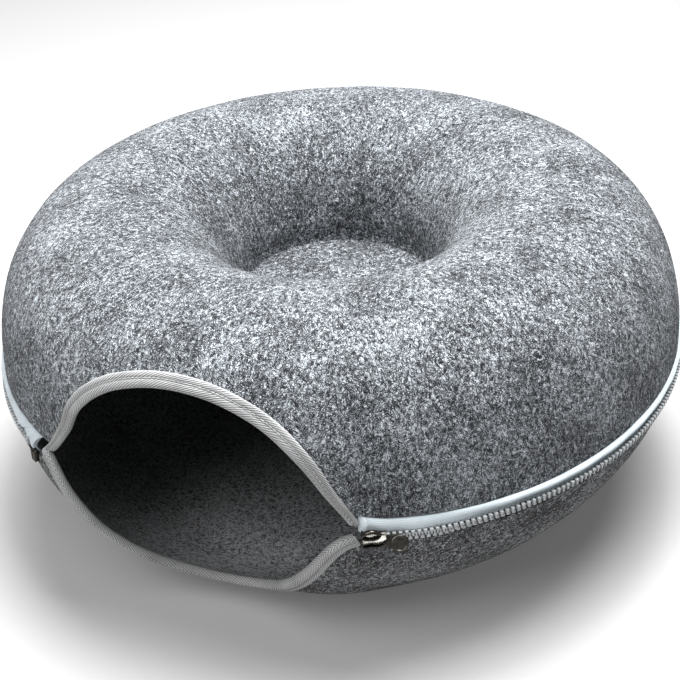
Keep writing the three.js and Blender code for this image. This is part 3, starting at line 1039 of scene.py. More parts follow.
@dataclass
class ClothSheet:
    """A sheet of cloth, laid out as rows of points, with how far along and across it each point lies.

    A shell has a share of its thickness at each point too, where it is pressed, and its sides meet.
    """

    name: str
    points: np.ndarray
    thickness: float
    marks: np.ndarray
    pressed: np.ndarray | None = None
    cuts: Sequence[Cut] = ()
    sharp: float = 50.0

    def build(self) -> bpy.types.Object:
        """Shapes a grid into the sheet, closes a shell, makes the cuts and gives the sheet its thickness.

        Returns:
            The sheet.
        """
        rows, columns = self.points.shape[:2]
        piece = primitive(
            bpy.ops.mesh.primitive_grid_add, x_subdivisions=columns - 1, y_subdivisions=rows - 1, size=1.0,
        )
        piece.name = piece.data.name = self.name
        piece.data.vertices.foreach_set("co", self.points.astype(np.float32).ravel())
        marks = self.marks.reshape(-1, 2)[self._corners(piece)].astype(np.float32)
        piece.data.uv_layers.active.uv.foreach_set("vector", marks.ravel())
        piece.data.update()
        solid: dict[str, object] = {"thickness": self.thickness, "offset": -1.0}
        if self.pressed is not None:
            group = piece.vertex_groups.new(name="pressed")
            for k, weight in enumerate(self.pressed.ravel().tolist()):
                group.add([k], weight, "REPLACE")
            solid["vertex_group"] = group.name
            with editing(piece):
                bpy.ops.mesh.remove_doubles(threshold=WELD)
        for cut in self.cuts:
            with editing(piece, lambda face: face.center.x * cut.half > 0):
                bpy.ops.mesh.bisect(
                    plane_co=cut.spot, plane_no=cut.away, clear_outer=True, threshold=0.1 * WELD,
                )
        outer_count = len(piece.data.vertices)
        apply_modifier(piece, "SOLIDIFY", solid)
        self._mark_inner_face(piece, np.arange(len(piece.data.vertices)) >= outer_count)
        smooth_shade(piece, self.sharp)
        return piece

    @staticmethod
    def _corners(piece: bpy.types.Object) -> np.ndarray:
        """The point at each corner of a piece's faces.

        Args:
            piece: the piece.

        Returns:
            The points' numbers.
        """
        corners = np.empty(len(piece.data.loops), np.int32)
        piece.data.loops.foreach_get("vertex_index", corners)
        return corners

    def _mark_inner_face(self, piece: bpy.types.Object, inner: np.ndarray) -> None:
        """Marks the inner face, and sets its pattern on so that it runs over a cut edge.

        Args:
            piece: the sheet.
            inner: whether each point lies on the inner face.
        """
        face = piece.data.attributes.new(INNER_FACE, "FLOAT", "POINT")
        face.data.foreach_set("value", inner.astype(np.float32))
        layer = piece.data.uv_layers.active.uv
        flat = np.empty(2 * len(piece.data.loops), np.float32)
        layer.foreach_get("vector", flat)
        marks = flat.reshape(-1, 2)
        marks[inner[self._corners(piece)]] *= 1.0 + self.thickness / np.linalg.norm(self.marks, axis=-1).max()
        layer.foreach_set("vector", marks.ravel())


@dataclass
class FeltShell:
    """One moulded felt shell."""

    side: Side
    rows: int
    blank: float
    bound_felt: float = 2.2 * MM
    coarse: float = 2.0
    fine: float = 0.4
    fine_reach: float = 40.0
    cut_back: float = 1.8 * MM
    swell: Lumps = Lumps(0.9 * MM, 11.0, 3.7)
    ripple: Lumps = Lumps(0.3 * MM, 38.0, 9.1)
    flat_base: Pair = (4 * MM, 30 * MM)
    rim_roll: float = 2.2 * MM
    rim_depth: float = 12 * MM
    roll_azimuths: Pair = (33.0, 48.0)
    press_reach: Pair = (17 * MM, 9 * MM)
    press_azimuths: Pair = (29.0, 25.0)

    def _azimuths(self) -> np.ndarray:
        """Azimuths of the columns, in radians, closer together by the entrance.

        Returns:
            The azimuths.
        """
        side = int((180.0 - self.fine_reach) / self.coarse)
        front = int(2 * self.fine_reach / self.fine)
        left = np.linspace(-180.0, -self.fine_reach, side + 1)
        middle = np.linspace(-self.fine_reach, self.fine_reach, front + 1)
        return np.radians(np.concatenate([left, middle[1:-1], -left[::-1]]))

    def _upper_lengths(self, azimuth: np.ndarray) -> np.ndarray:
        """Lengths along the face of the upper shell's points.

        Args:
            azimuth: azimuths of the columns, in radians.

        Returns:
            The lengths, in rows from the shell's edge to the middle of the seat.
        """
        zip_edge = FORM.length_at(along_knots(UPPER_RIM, np.degrees(azimuth)))
        edge = np.maximum(ARCH.felt_edge(azimuth, self.cut_back, elsewhere=0.0), zip_edge)
        lowest = float(zip_edge.min())
        even = np.linspace(lowest, FORM.lengths[-1], self.rows + 1)[:, None]
        share = np.clip((FORM.crest_length - even) / (FORM.crest_length - lowest), 0.0, None)
        return np.where(share > 0, FORM.crest_length - share * (FORM.crest_length - edge), even)

    def _lower_lengths(self, azimuth: np.ndarray) -> np.ndarray:
        """Lengths along the face of the lower shell's points.

        Args:
            azimuth: azimuths of the columns, in radians.

        Returns:
            The lengths, in rows from the middle of the base to the shell's edge.
        """
        zip_edge = FORM.length_at(along_knots(LOWER_RIM, np.degrees(azimuth)))
        edge = np.minimum(zip_edge, LIP.felt_edge(azimuth, self.cut_back, elsewhere=1.0))
        return np.linspace(0.0, 1.0, self.rows + 1)[:, None] * edge

    def _pressed(self, azimuth: np.ndarray, length: np.ndarray) -> np.ndarray:
        """Share of its thickness that the felt keeps, where the binding presses its cut edge.

        Args:
            azimuth: azimuths of the columns, in radians.
            length: lengths along the face.

        Returns:
            The shares.
        """
        edge = length[0] if self.side is Side.ABOVE else length[-1]
        near = smooth_step(np.abs(length - edge), *self.press_reach)
        front = smooth_step(np.abs(np.degrees(azimuth)), *self.press_azimuths)
        return 1.0 - (1.0 - self.bound_felt / FORM.felt) * near * front

    def build(self) -> bpy.types.Object:
        """Shapes the shell, with slight lumps; the lower one's rim rolls out, and its front springs open.

        Returns:
            The shell.
        """
        azimuth = self._azimuths()
        above = self.side is Side.ABOVE
        length = self._upper_lengths(azimuth) if above else self._lower_lengths(azimuth)
        flat = FORM.place(azimuth, length)
        flat[:, -1] = flat[:, 0]
        out = self.swell.over(flat) + self.ripple.over(flat)
        if not above:
            rolled = smooth_step(np.abs(np.degrees(azimuth)), *self.roll_azimuths)
            out = out * smooth_step(flat[..., 2], *self.flat_base)
            out = out + self.rim_roll * rolled * smooth_step(length - length[-1], -self.rim_depth, 0.0)
        points = FORM.place(azimuth, length, out)
        points[:, -1] = points[:, 0]
        if not above:
            points = SPRING.open(points)
        pole = -1 if above else 0
        points[pole] = points[pole].mean(axis=0)
        from_pole = np.abs(length - length[pole])
        marks = np.stack([from_pole * np.sin(azimuth), from_pole * np.cos(azimuth)], axis=-1)
        pressed = self._pressed(azimuth, length)
        return ClothSheet(f"felt_shell_{self.side.word}", points, FORM.felt, marks, pressed).build()

    def make(self, finish: FeltFinish, slot: Slot) -> bpy.types.Object:
        """Builds and dresses the shell.

        Args:
            finish: the felt.
            slot: the record's slot.

        Returns:
            The shell.
        """
        piece = dress(self.build(), finish.material(), slot, f"{self.side.word}_shell")
        return piece


@dataclass
class EntranceBinding:
    """Twill tape folded over one edge of the entrance, with its row of stitches."""

    edge: EntranceEdge
    end_width: float = 6.5 * MM
    bound_felt: float = 2.2 * MM
    steps: int = 230
    leg_steps: int = 25
    fold_steps: int = 14
    measured_row: int = 20
    chevron_row: int = 29
    width: float = 11 * MM
    taper: float = 0.26
    tape: float = 1.1 * MM
    lift: float = 1.4 * MM
    fold_depth: float = 2.4 * MM
    groove_at: float = 6.3 * MM
    groove_reach: float = 0.75 * MM
    groove: float = 0.4 * MM
    puff: float = 0.2 * MM
    edge_dip: float = 0.8
    edge_reach: float = 0.5 * MM
    wave: Lumps = Lumps(0.25 * MM, 60.0, 5.3)
    trim_upper: float = 127.8 * MM
    trim_lower: float = 118 * MM
    trim_left: float = -26.3
    stitch: float = 2.5 * MM
    stitch_pitch: float = 3.2 * MM
    thread: float = 0.62 * MM
    thread_lift: float = 0.75
    thread_sides: int = 6
    thread_sharp: float = 60.0
    stitch_dip: Pair = (-0.35, -0.6)

    @property
    def above(self) -> bool:
        """Whether this is the binding of the upper edge."""
        return self.edge.side is Side.ABOVE

    def _section(self) -> np.ndarray:
        """The folded tape's section, with a puffed band on both sides of the stitched groove.

        Returns:
            Way back from the entrance's edge and out of the felt, from the outer leg to the inner one.
        """
        half = self.lift + self.bound_felt / 2
        back = np.linspace(self.width, self.fold_depth, self.leg_steps + 1)
        band = np.sin(math.pi * np.clip((self.width - back) / (self.width - self.groove_at), 0, 2)) ** 2
        out = self.lift + self.puff * band - self.groove * round_hump(back, self.groove_at, self.groove_reach)
        out = out - self.edge_dip * self.lift * round_hump(back, self.width, self.edge_reach)
        turn = np.linspace(math.pi / 2, -math.pi / 2, self.fold_steps + 1)[1:-1]
        fold_back = self.fold_depth * (1 - np.cos(turn))
        fold_out = half * np.sin(turn) - self.bound_felt / 2
        inner_back = back[::-2]
        inner_out = np.full_like(inner_back, -self.bound_felt - self.lift)
        legs = ((back, out), (fold_back, fold_out), (inner_back, inner_out))
        return np.vstack([np.stack(leg, axis=1) for leg in legs])

    def _lines(self, section: np.ndarray) -> np.ndarray:
        """Lines along the edge, one for each point of a section.

        Args:
            section: way back from the edge and out of the felt, one a row.

        Returns:
            The lines' points, one row a line.
        """
        from_end = np.minimum(np.arange(self.steps + 1), self.steps - np.arange(self.steps + 1)) / self.steps
        share = self.end_width / self.width
        narrow = share + (1 - share) * smooth_step(from_end, 0.0, self.taper)
        back = section[:, :1] * np.where(section[:, :1] > self.fold_depth, narrow, 1.0)
        azimuth, length = self.edge.set_back(self.steps, back)
        points = FORM.place(azimuth, length, section[:, 1:])
        return points if self.above else SPRING.open(points)

    def _cuts(self) -> list[Cut]:
        """Where the tape's ends meet the zip: level cuts, but for the lower left one, which is upright.

        Returns:
            The cuts.
        """
        if self.above:
            level = Vector((0, 0, self.trim_upper))
            return [Cut(level, Vector((0, 0, -1)), half) for half in (-1, 1)]
        turn = math.radians(self.trim_left)
        upright = Vector((-math.cos(turn), -math.sin(turn), 0))
        return [
            Cut(Vector((0, 0, self.trim_lower)), Vector((0, 0, 1)), 1),
            Cut(Vector((0, 0, 0)), upright, -1),
        ]

    def build(self) -> bpy.types.Object:
        """Shapes the folded tape.

        Returns:
            The tape.
        """
        section = self._section()
        points = self._lines(section)
        along, across = way_along(points[self.measured_row]), way_along(section)
        across = across - across[self.chevron_row]
        marks = np.stack(np.broadcast_arrays(along, across[:, None]), axis=-1)
        away = points / np.linalg.norm(points[..., :2], axis=-1)[..., None] * (1, 1, 0)
        points = points + self.wave.over(points)[..., None] * away
        if self.above:
            points, marks = points[::-1], marks[::-1] * (-1, 1)
        name = f"entrance_binding_{self.edge.side.word}"
        return ClothSheet(name, points, self.tape, marks, cuts=self._cuts()).build()

    def _stitch_model(self) -> bpy.types.Object:
        """One stitch: a thread that dips into the tape at both ends.

        Returns:
            The stitch.
        """
        model = primitive(
            bpy.ops.mesh.primitive_cylinder_add, vertices=self.thread_sides, radius=self.thread / 2,
            depth=self.stitch, rotation=(0, math.pi / 2, 0),
        )
        longer, down = (share * self.thread for share in self.stitch_dip)
        with editing(model, lambda face: len(face.vertices) == self.thread_sides):
            bpy.ops.mesh.extrude_region_shrink_fatten(TRANSFORM_OT_shrink_fatten={"value": longer})
            bpy.ops.transform.translate(value=(0, 0, down))
        return model

    def _seam(self) -> np.ndarray:
        """The line of the stitches along the groove, and a line above it."""
        outs = (self.lift - self.groove + self.thread_lift * self.thread, self.lift + 2 * self.thread)
        return self._lines(np.array([[self.groove_at, out] for out in outs]))

    def _keeps(self, height: float) -> bool:
        """Whether a stitch at a height is clear of the tape's cut ends."""
        return height > self.trim_upper if self.above else height < self.trim_lower

    def build_stitches(self) -> bpy.types.Object:
        """Sews the row of stitches along the groove.

        Returns:
            The row.
        """
        row, over = self._seam()
        way = way_along(row)
        places = []
        for at in np.arange(self.stitch_pitch, way[-1] - self.stitch_pitch, self.stitch_pitch):
            spot, up, ahead = (
                Vector([np.interp(at + further, way, line[:, k]) for k in range(3)])
                for line, further in ((row, 0.0), (over, 0.0), (row, self.stitch / 2))
            )
            if self._keeps(spot.z):
                x = (ahead - spot).normalized()
                y = (up - spot).cross(x).normalized()
                place = Matrix((x, y, x.cross(y))).transposed().to_4x4()
                place.translation = spot
                places.append(place)
        piece = copies(f"binding_stitches_{self.edge.side.word}", self._stitch_model(), places)
        smooth_shade(piece, self.thread_sharp)
        return piece

    def make(self, rests_on: bpy.types.Object) -> None:
        """Builds and dresses the binding and its stitches.

        Args:
            rests_on: the shell that it is sewn to; not used.
        """
        tape = self.build()
        stitches = dress(self.build_stitches(), THREAD.material(), Slot.BINDING)
        dress(tape, TWILL.material(), Slot.BINDING, f"binding_{self.edge.side.word}")
        length = float(way_along(self._seam()[1])[-1])
        flat = (2 * self.width + self.bound_felt + 2 * self.lift, length)


class Crease(NamedTuple):
    """A ridge across a tape's end, or a trough if its height is below 0.

    It lies so far from the end at the tape's hidden edge, and as much further at the other as it slants.
    """

    at: float
    slant: float
    reach: float
    height: float


@dataclass
class ZipTape:
    """One woven tape of the zip, from behind the felt edge to the teeth.

    Its sections hold radii and heights in millimetres: the ends' one changes to the even one as it settles.
    """

    name: str
    node: str
    end_section: tuple[Pair, ...]
    section: tuple[Pair, ...]
    right: float
    left: float
    settles: Pair
    crease: float = 0.5 * MM
    slip: float = 0.0
    end_drop: float = 0.0
    end_rise: float = 0.0
    pinch: float = 0.0
    rim: tuple[EdgeKnot, ...] = ()
    rim_height: float = 127.5 * MM
    columns: int = 420
    rows: int = 24
    tape: float = 0.9 * MM
    crowding: float = 0.14
    slip_from: float = 0.3
    left_pinch_from: float = -2 * MM
    right_pinch: Pair = (-5 * MM, 5 * MM)
    drop_reach: Pair = (11 * MM, 3 * MM)
    rise_reach: Pair = (40 * MM, 4 * MM)
    ripple: float = 0.2 * MM
    ripple_rate: float = 0.9
    crease_rows: Pair = (0.25, 0.55)
    right_creases: tuple[Crease, ...] = (
        Crease(2.4 * MM, 3.5 * MM, 1.0 * MM, 1.0), Crease(4.8 * MM, 3.5 * MM, 1.5 * MM, -0.8),
    )
    left_creases: tuple[Crease, ...] = (
        Crease(2.2 * MM, 7 * MM, 1.0 * MM, 1.8), Crease(3.4 * MM, 14 * MM, 1.3 * MM, -1.8),
        Crease(4.8 * MM, 22.75 * MM, 1.7 * MM, 1.44),
    )

    def _creases(self, from_right: np.ndarray, from_left: np.ndarray, share: np.ndarray) -> np.ndarray:
        """Ridges and troughs that slant across the folded ends.

        Args:
            from_right: distance from the right end.
            from_left: distance from the left end.
            share: share of the way across the tape.

        Returns:
            How far out they stand.
        """
        folds = [
            crease.height * round_hump(distance, crease.at + crease.slant * share, crease.reach)
            for distance, creases in ((from_right, self.right_creases), (from_left, self.left_creases))
            for crease in creases
        ]
        return self.crease * sum(folds) * smooth_step(share, *self.crease_rows)

    @cached_property
    def lines(self) -> tuple[np.ndarray, np.ndarray]:
        """The even section and the ends' one, each with a point for each row."""
        return tuple(smooth_line(np.array(s) * MM, self.rows) for s in (self.section, self.end_section))

    @property
    def flat(self) -> Pair:
        """The tape's width and length before it was shaped."""
        length = (360.0 + self.left - self.right) * math.radians(FORM.outer_radius)
        return float(way_along(self.lines[0])[-1]), length

    def build(self) -> bpy.types.Object:
        """Shapes the tape, with the creases of its two ends.

        Returns:
            The tape.
        """
        share = np.linspace(0.0, 1.0, self.rows + 1)[:, None]
        even = np.linspace(0.0, 1.0, self.columns + 1)
        ease = even - self.crowding * np.sin(2 * math.pi * even)
        slipped = np.clip((share - self.slip_from) / (1.0 - self.slip_from), 0.0, 1.0)
        turn = 360.0 + self.left - self.right + self.slip * slipped
        azimuth = self.right + turn * ease
        per_degree = math.radians(FORM.outer_radius)
        from_right = (azimuth - self.right) * per_degree
        from_left = turn * (1.0 - ease) * per_degree
        at_end = smooth_step(np.minimum(from_right, from_left), *self.settles[::-1])
        inner, outer = self.lines
        radius, height = (inner[:, k:k + 1] + (outer - inner)[:, k:k + 1] * at_end for k in range(2))
        if self.rim:
            way = (azimuth + 180.0) % 360.0 - 180.0
            low = height[-1:]
            height = low + (height - low) * (along_knots(self.rim, way) - low) / (self.rim_height - low)
        if self.pinch:
            left_open = smooth_step(from_left, self.left_pinch_from, self.pinch)
            opened = np.minimum(left_open, smooth_step(from_right, *self.right_pinch))
            radius = radius[:1] + (radius - radius[:1]) * opened
        radius = radius + self._creases(from_right, from_left, share)
        radius = radius + self.ripple * np.sin(azimuth * self.ripple_rate) * share
        height = height - self.end_drop * share**2 * smooth_step(from_left, *self.drop_reach)
        height = height + self.end_rise * share**2 * smooth_step(from_right, *self.rise_reach)
        points = ring_points(np.radians(azimuth), radius, height)
        marks = np.stack(np.broadcast_arrays(azimuth * per_degree, way_along(inner)[:, None]), axis=-1)
        runs_down = inner[0, 1] > inner[-1, 1]
        if runs_down:
            points, marks = points[::-1], marks[::-1]
        return ClothSheet(self.name, points, self.tape, marks).build()

    def make(self, rests_on: bpy.types.Object) -> None:
        """Builds and dresses the tape, which is sewn to a shell."""
        piece = dress(self.build(), ZIP_TAPE.material(), Slot.TAPE, self.node)
        self.flat


UPPER_HEM = ((244.4, 137.0), (244.9, 130.0), (246.0, 127.6))
UPPER_TAPE = ZipTape(
    UPPER_TAPE_NAME,
    "zip_tape_upper",
    end_section=(
        *UPPER_HEM, (249.4, 126.9), (251.2, 125.2), (252.0, 123.0), (251.9, 121.0), (251.4, 119.4),
        (250.8, 118.0),
    ),
    section=(
        *UPPER_HEM, (250.2, 127.1), (252.5, 125.8), (252.4, 123.6), (250.3, 122.2), (249.7, 120.2),
        (250.4, 118.0),
    ),
    right=28.3,
    left=-25.5,
    settles=(40 * MM, 105 * MM),
    slip=-6.5,
    end_drop=7 * MM,
    end_rise=2.2 * MM,
    pinch=1.5 * MM,
    rim=UPPER_RIM,
)
LOWER_TAPE = ZipTape(
    "zip_tape_sheet_lower",
    "zip_tape_lower",
    end_section=(
        (244.0, 98.0), (244.5, 100.2), (245.0, 102.4), (245.5, 105.5), (246.6, 109.5), (249.6, 113.2),
    ),
    section=(
        (244.0, 98.0), (245.0, 101.6), (245.5, 105.6), (246.2, 109.6), (247.8, 112.0), (249.6, 113.6),
    ),
    right=29.6,
    left=-30.6,
    settles=(22 * MM, 60 * MM),
    crease=0.3 * MM,
)


class ToothStep(NamedTuple):
    """A step down a tooth, and how much wider and deeper the tooth is after it."""

    down: float
    wide: float
    deep: float


@dataclass
class ZipTeeth:
    """The zip's two rows of moulded teeth, which meet and interlock."""

    right: float = 32.4
    left: float = -32.0
    pitch: float = 3.93 * MM
    radius: float = 252.2 * MM
    middle: float = 115.5 * MM
    body: Triple = (2.3 * MM, 2.4 * MM, 2.0 * MM)
    reach: float = 1.2 * MM
    steps: tuple[ToothStep, ...] = (
        ToothStep(0.0, 0.48, 0.8), ToothStep(1.0 * MM, 1.0, 1.0),
        ToothStep(0.5 * MM, 1.4, 1.0), ToothStep(0.8 * MM, 0.8, 0.8),
    )
    edge: float = 0.3 * MM
    edge_angle: float = 50.0
    sharp: float = 35.0
    tuck: float = 2.2 * MM
    tuck_azimuths: Pair = (36.0, 46.0)
    end_rise: float = 1.6 * MM
    rise_azimuths: Pair = (42.0, 33.0)

    def _model(self) -> bpy.types.Object:
        """One tooth: a body on the tape, a neck and a wider head that points down.

        Returns:
            The tooth.
        """
        foot = (0, 0, self.reach + self.body[2] / 2)
        model = primitive(bpy.ops.mesh.primitive_cube_add, size=1.0, location=foot, scale=self.body)
        with editing(model, lambda face: face.normal.z < -FACING):
            for step in self.steps:
                bpy.ops.mesh.extrude_region_move(TRANSFORM_OT_translate={"value": (0, 0, -step.down)})
                bpy.ops.transform.resize(value=(step.wide, step.deep, 1.0))
        bevel(model, self.edge, segments=1, angle=self.edge_angle)
        return model

    def build(self, side: Side) -> bpy.types.Object:
        """Sets one row of teeth round the zip.

        Args:
            side: the row above the zip's middle line or the one below it.

        Returns:
            The row.
        """
        turn = math.radians(360.0 + self.left - self.right)
        count = int(turn * self.radius / self.pitch)
        step = math.degrees(self.pitch / self.radius)
        half = 0.0 if side is Side.ABOVE else step / 2
        azimuths = self.right + half + step * np.arange(count)
        deepest = self.tuck if side is Side.BELOW else 0.0
        tucks = deepest * smooth_step(azimuths, *self.tuck_azimuths)
        rises = self.end_rise * smooth_step(azimuths, *self.rise_azimuths)
        flip = Matrix.Scale(side.value, 4, (0, 0, 1)) @ Matrix.Scale(side.value, 4, (1, 0, 0))
        places = [
            on_ring(azimuth, self.radius - tuck, self.middle + rise) @ flip
            for azimuth, tuck, rise in zip(azimuths, tucks, rises)
        ]
        piece = copies(f"zip_teeth_{side.name.lower()}", self._model(), places)
        smooth_shade(piece, self.sharp)
        return piece

    def make(self) -> None:
        """Builds and dresses both rows."""
        material = TEETH.material()
        for side in Side:
            dress(self.build(side), material, Slot.TEETH, "zip_chain")


@dataclass
class ZipSlider:
    """The slider, parked at the right of the entrance, with its crown and puller."""

    azimuth: float = 30.4
    radius: float = 253.6 * MM
    height: float = 119.4 * MM
    lean: float = 70.0
    length: float = 15 * MM
    tall: float = 11.5 * MM
    plate: float = 1.5 * MM
    plate_cuts: int = 5
    gap: float = 3.6 * MM
    nose: float = 0.6
    nose_from: float = 0.45
    nose_rate: float = 3.3
    waist: float = 0.16
    waist_rate: float = 1.6
    edge: float = 0.5 * MM
    core_length: float = 6 * MM
    core_tall: float = 3.2 * MM
    core_at: float = -3.3 * MM
    crown_radius: float = 4.8 * MM
    crown_wire: float = 1.0 * MM
    crown_sides: int = 36
    wire_sides: int = 12
    crown_stretch: Triple = (1.1, 1.0, 1.7)
    crown_at: float = -1.8 * MM
    crown_sink: float = 0.3 * MM
    puller_length: float = 19.3 * MM
    puller_drop: float = 2.8 * MM
    puller_lean: float = 31.0
    puller_edge: float = 0.35 * MM
    disc: float = 5.7 * MM
    disc_sides: int = 40
    neck: float = 6.4 * MM
    neck_power: int = 4
    thick: float = 1.5 * MM
    rim: float = 0.9 * MM
    dish: float = 0.45 * MM
    bead: float = 0.95 * MM
    pivot: Pair = (2.8 * MM, 1.2 * MM)
    tilt: float = 20.0
    sharp: float = 40.0
    puller_sharp: float = 35.0

    def _plate(self, out: float) -> bpy.types.Object:
        """One plate of the slider, waisted, and narrow at its nose.

        Args:
            out: how far out its inner face lies.

        Returns:
            The plate.
        """
        piece = primitive(
            bpy.ops.mesh.primitive_cube_add, size=1.0, location=(0, -out - self.plate / 2, 0),
            scale=(self.length, self.plate, self.tall),
        )
        with editing(piece):
            bpy.ops.mesh.subdivide(number_cuts=self.plate_cuts)
        for vertex in piece.data.vertices:
            way = (vertex.co.x + self.length / 2) / self.length
            waist = 1.0 - self.waist * math.sin(math.pi * min(way * self.waist_rate, 1.0))
            taper = (1.0 - self.nose) * self.nose_rate * max(0.0, way - self.nose_from) ** 2
            vertex.co.z *= waist * (1.0 - taper)
        bevel(piece, self.edge, segments=3, angle=self.sharp)
        return piece

    def _crown(self) -> bpy.types.Object:
        """The loop that holds the puller.

        Returns:
            The loop.
        """
        piece = primitive(
            bpy.ops.mesh.primitive_torus_add, major_radius=self.crown_radius, minor_radius=self.crown_wire,
            major_segments=self.crown_sides, minor_segments=self.wire_sides,
        )
        with editing(piece):
            bpy.ops.mesh.bisect(plane_co=(0, 0, 0), plane_no=(0, 1, 0), clear_outer=True, use_fill=True)
        with editing(piece):
            bpy.ops.transform.resize(value=self.crown_stretch)
        settle(piece, Matrix.Translation((self.crown_at, self.crown_sink - self.plate, 0)))
        return piece

    def _place(self, height: float) -> Matrix:
        """Where the slider sits at a height, leaning back."""
        lean = Matrix.Rotation(math.radians(-self.lean), 4, "X")
        return on_ring(self.azimuth, self.radius, height) @ lean

    def build(self) -> bpy.types.Object:
        """Joins the two plates, the core between them and the crown.

        Returns:
            The slider.
        """
        front = self._plate(0.0)
        back = self._plate(-self.plate - self.gap)
        core = primitive(
            bpy.ops.mesh.primitive_cube_add, size=1.0, location=(self.core_at, self.gap / 2, 0),
            scale=(self.core_length, self.gap + self.plate, self.core_tall),
        )
        bevel(core, self.edge, segments=2, angle=self.sharp)
        piece = joined("zip_slider_body", [front, back, core, self._crown()])
        clean(piece)
        smooth_shade(piece, self.sharp)
        settle(piece, self._place(self.height))
        return piece

    def _disc(self, far: float) -> bpy.types.Object:
        """The puller's plate: a round dished disc, drawn out to a neck.

        Args:
            far: how far the disc's middle is from the pivot.

        Returns:
            The plate.
        """
        piece = primitive(
            bpy.ops.mesh.primitive_cylinder_add, vertices=self.disc_sides, radius=self.disc, depth=self.thick,
            rotation=(math.pi / 2, 0, 0), location=(far, 0, 0),
        )
        for vertex in piece.data.vertices:
            pull = max(0.0, (far - vertex.co.x) / self.disc) ** self.neck_power
            vertex.co.x -= pull * (far - self.disc)
            vertex.co.z = vertex.co.z * (1 - pull) + math.copysign(self.neck / 2, vertex.co.z) * pull
        for front in (-1, 1):
            with editing(piece, lambda face: face.normal.y * front > FACING):
                bpy.ops.mesh.inset(thickness=self.rim)
                bpy.ops.mesh.extrude_region_move(TRANSFORM_OT_translate={"value": (0, -front * self.dish, 0)})
        bevel(piece, self.puller_edge, segments=3, angle=self.sharp)
        return piece

    def build_puller(self) -> bpy.types.Object:
        """Joins the puller's plate and the bead along the edge of its disc.

        Returns:
            The puller.
        """
        far = self.puller_length - self.disc
        plate = self._disc(far)
        bead = primitive(
            bpy.ops.mesh.primitive_torus_add, major_radius=self.disc - self.bead, minor_radius=self.bead,
            major_segments=self.disc_sides, minor_segments=self.wire_sides,
            rotation=(math.pi / 2, 0, 0), location=(far, 0, 0),
        )
        piece = joined("zip_puller_tab", [plate, bead])
        clean(piece)
        smooth_shade(piece, self.puller_sharp)
        hang = Matrix.Rotation(math.radians(self.tilt), 4, "Y")
        rest = Matrix.Rotation(math.radians(self.lean - self.puller_lean), 4, "X")
        pivot = Matrix.Translation((self.pivot[0], -self.plate - self.pivot[1], 0))
        settle(piece, self._place(self.height - self.puller_drop) @ pivot @ rest @ hang)
        return piece

    def make(self) -> None:
        """Builds and dresses the slider and its puller."""
        dress(self.build(), GUNMETAL.material(), Slot.METAL, "zip_slider")
        dress(self.build_puller(), PULLER_METAL.material(), Slot.METAL, "zip_puller")


@dataclass
class ZipStop:
    """The small metal block at the zip's far end."""

    azimuth: float = -29.75
    radius: float = 253.2 * MM
    height: float = 113 * MM
    size: Triple = (5.6 * MM, 4.4 * MM, 8 * MM)
    frame: float = 1.1 * MM
    recess: float = 0.7 * MM
    edge: float = 0.5 * MM
    sharp: float = 40.0

    def build(self) -> bpy.types.Object:
        """Shapes the block, with a slot across its face.

        Returns:
            The block.
        """
        piece = primitive(bpy.ops.mesh.primitive_cube_add, size=1.0, scale=self.size)
        with editing(piece, lambda face: abs(face.normal.y) > FACING):
            bpy.ops.mesh.inset(thickness=self.frame)
            bpy.ops.mesh.extrude_region_shrink_fatten(TRANSFORM_OT_shrink_fatten={"value": -self.recess})
        bevel(piece, self.edge, segments=2, angle=self.sharp)
        piece.name = piece.data.name = "zip_end_block"
        clean(piece)
        smooth_shade(piece, self.sharp)
        settle(piece, on_ring(self.azimuth, self.radius, self.height))
        return piece

    def make(self) -> None:
        """Builds and dresses the block."""
        dress(self.build(), GUNMETAL.material(), Slot.METAL, "zip_end_stop")


@dataclass(frozen=True)
class AreaLight:
    """A soft light, placed as seen by someone behind the camera."""

    name: str
    spot: Triple
    size: float
    energy: float


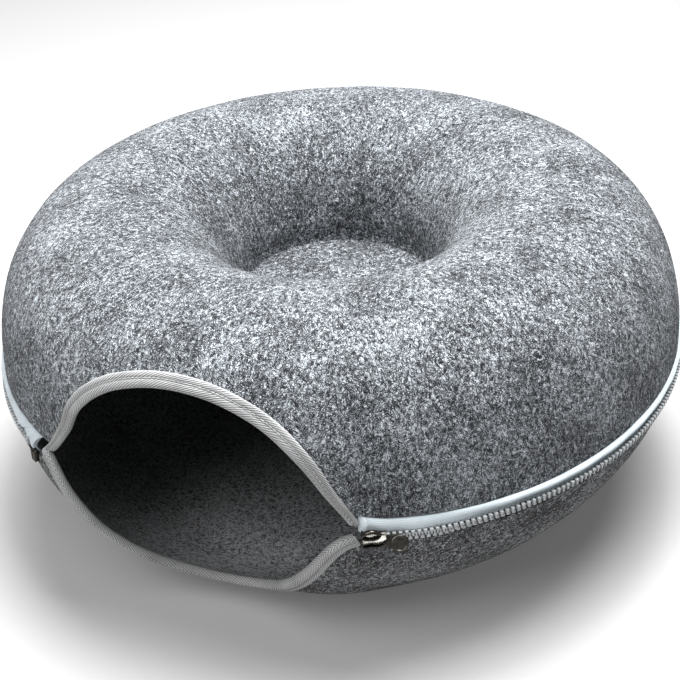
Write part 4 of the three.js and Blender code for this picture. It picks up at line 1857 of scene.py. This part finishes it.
@dataclass
class Studio:
    """Floor, light and camera."""

    picture: float = 680.0
    azimuth: float = 27.5
    elevation: float = 32.68
    distance: float = 1.151
    focal_pixels: float = 1499.0
    shift_pixels: Pair = (2.3, 16.4)
    roll: float = -3.4
    aim: float = 0.090
    sensor: float = 36.0
    floor_size: float = 12.0
    floor_height: float = -0.2 * MM
    sky: float = 0.13
    gamma: float = 0.84
    lights: tuple[AreaLight, ...] = (
        AreaLight("top_softbox", (0.0, 0.48, 2.03), 1.1, 48.0),
        AreaLight("right_softbox", (0.48, 0.0, 2.03), 1.1, 60.0),
        AreaLight("left_softbox", (-1.05, -1.05, 1.43), 1.1, 13.0),
        AreaLight("front_softbox", (-0.5, -0.9, 1.7), 1.1, 11.0),
    )

    def _camera(self) -> None:
        """Sets the camera at the picture's viewing angle."""
        turn, rise = math.radians(self.azimuth), math.radians(self.elevation)
        back = Vector((math.sin(turn) * math.cos(rise), -math.cos(turn) * math.cos(rise), math.sin(rise)))
        lens = bpy.data.cameras.new("picture_camera")
        lens.sensor_width = self.sensor
        lens.lens = self.focal_pixels / self.picture * self.sensor
        lens.shift_x = -self.shift_pixels[0] / self.picture
        lens.shift_y = self.shift_pixels[1] / self.picture
        camera = bpy.data.objects.new("picture_camera", lens)
        bpy.context.scene.collection.objects.link(camera)
        level = (-back).to_track_quat("-Z", "Y").to_matrix()
        pose = (level @ Matrix.Rotation(math.radians(self.roll), 3, "Z")).to_4x4()
        pose.translation = Vector((0, 0, self.aim)) + back * self.distance
        camera.matrix_world = pose
        bpy.context.scene.camera = camera

    def _light(self, light: AreaLight) -> None:
        """Hangs one soft light, aimed at the object.

        Args:
            light: the light.
        """
        lamp = bpy.data.lights.new(light.name, "AREA")
        lamp.shape = "DISK"
        lamp.size = light.size
        lamp.energy = light.energy
        spot = Matrix.Rotation(math.radians(self.azimuth), 3, "Z") @ Vector(light.spot)
        hung = bpy.data.objects.new(light.name, lamp)
        hung.location = spot
        hung.rotation_euler = (Vector((0, 0, self.aim)) - spot).to_track_quat("-Z", "Y").to_euler()
        bpy.context.scene.collection.objects.link(hung)

    def _floor(self) -> None:
        """Lays the pale floor."""
        deselect()
        bpy.ops.mesh.primitive_plane_add(size=self.floor_size, location=(0, 0, self.floor_height))
        floor = bpy.context.object
        floor.name = floor.data.name = "studio_floor"
        floor.data.materials.append(FLOOR.material())

    def build(self) -> None:
        """Builds the studio."""
        scene = bpy.context.scene
        scene.view_settings.view_transform = "Standard"
        scene.view_settings.gamma = self.gamma
        scene.cycles.denoising_prefilter = "NONE"
        world = bpy.data.worlds.new("studio_sky")
        world.use_nodes = True
        sky = world.node_tree.nodes["Background"]
        sky.inputs["Color"].default_value = (1.0, 1.0, 1.0, 1.0)
        sky.inputs["Strength"].default_value = self.sky
        scene.world = world
        self._camera()
        for light in self.lights:
            self._light(light)
        self._floor()


def main() -> None:
    """Builds the studio and every piece of the tunnel, in order."""
    logging.basicConfig(level=logging.INFO, format="%(message)s")
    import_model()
    Studio().build()
    upper_shell = FeltShell(Side.ABOVE, rows=92, blank=660 * MM)
    lower_shell = FeltShell(Side.BELOW, rows=80, blank=580 * MM, bound_felt=3.6 * MM)
    upper = upper_shell.make(FELT_UPPER, Slot.FELT_UPPER)
    lower = lower_shell.make(FELT_LOWER, Slot.FELT_LOWER)
    EntranceBinding(ARCH).make(upper)
    EntranceBinding(LIP, end_width=9 * MM, bound_felt=lower_shell.bound_felt).make(lower)
    UPPER_TAPE.make(upper)
    LOWER_TAPE.make(lower)
    ZipTeeth().make()
    ZipSlider().make()
    ZipStop().make()


if __name__ == "__main__":
    main()
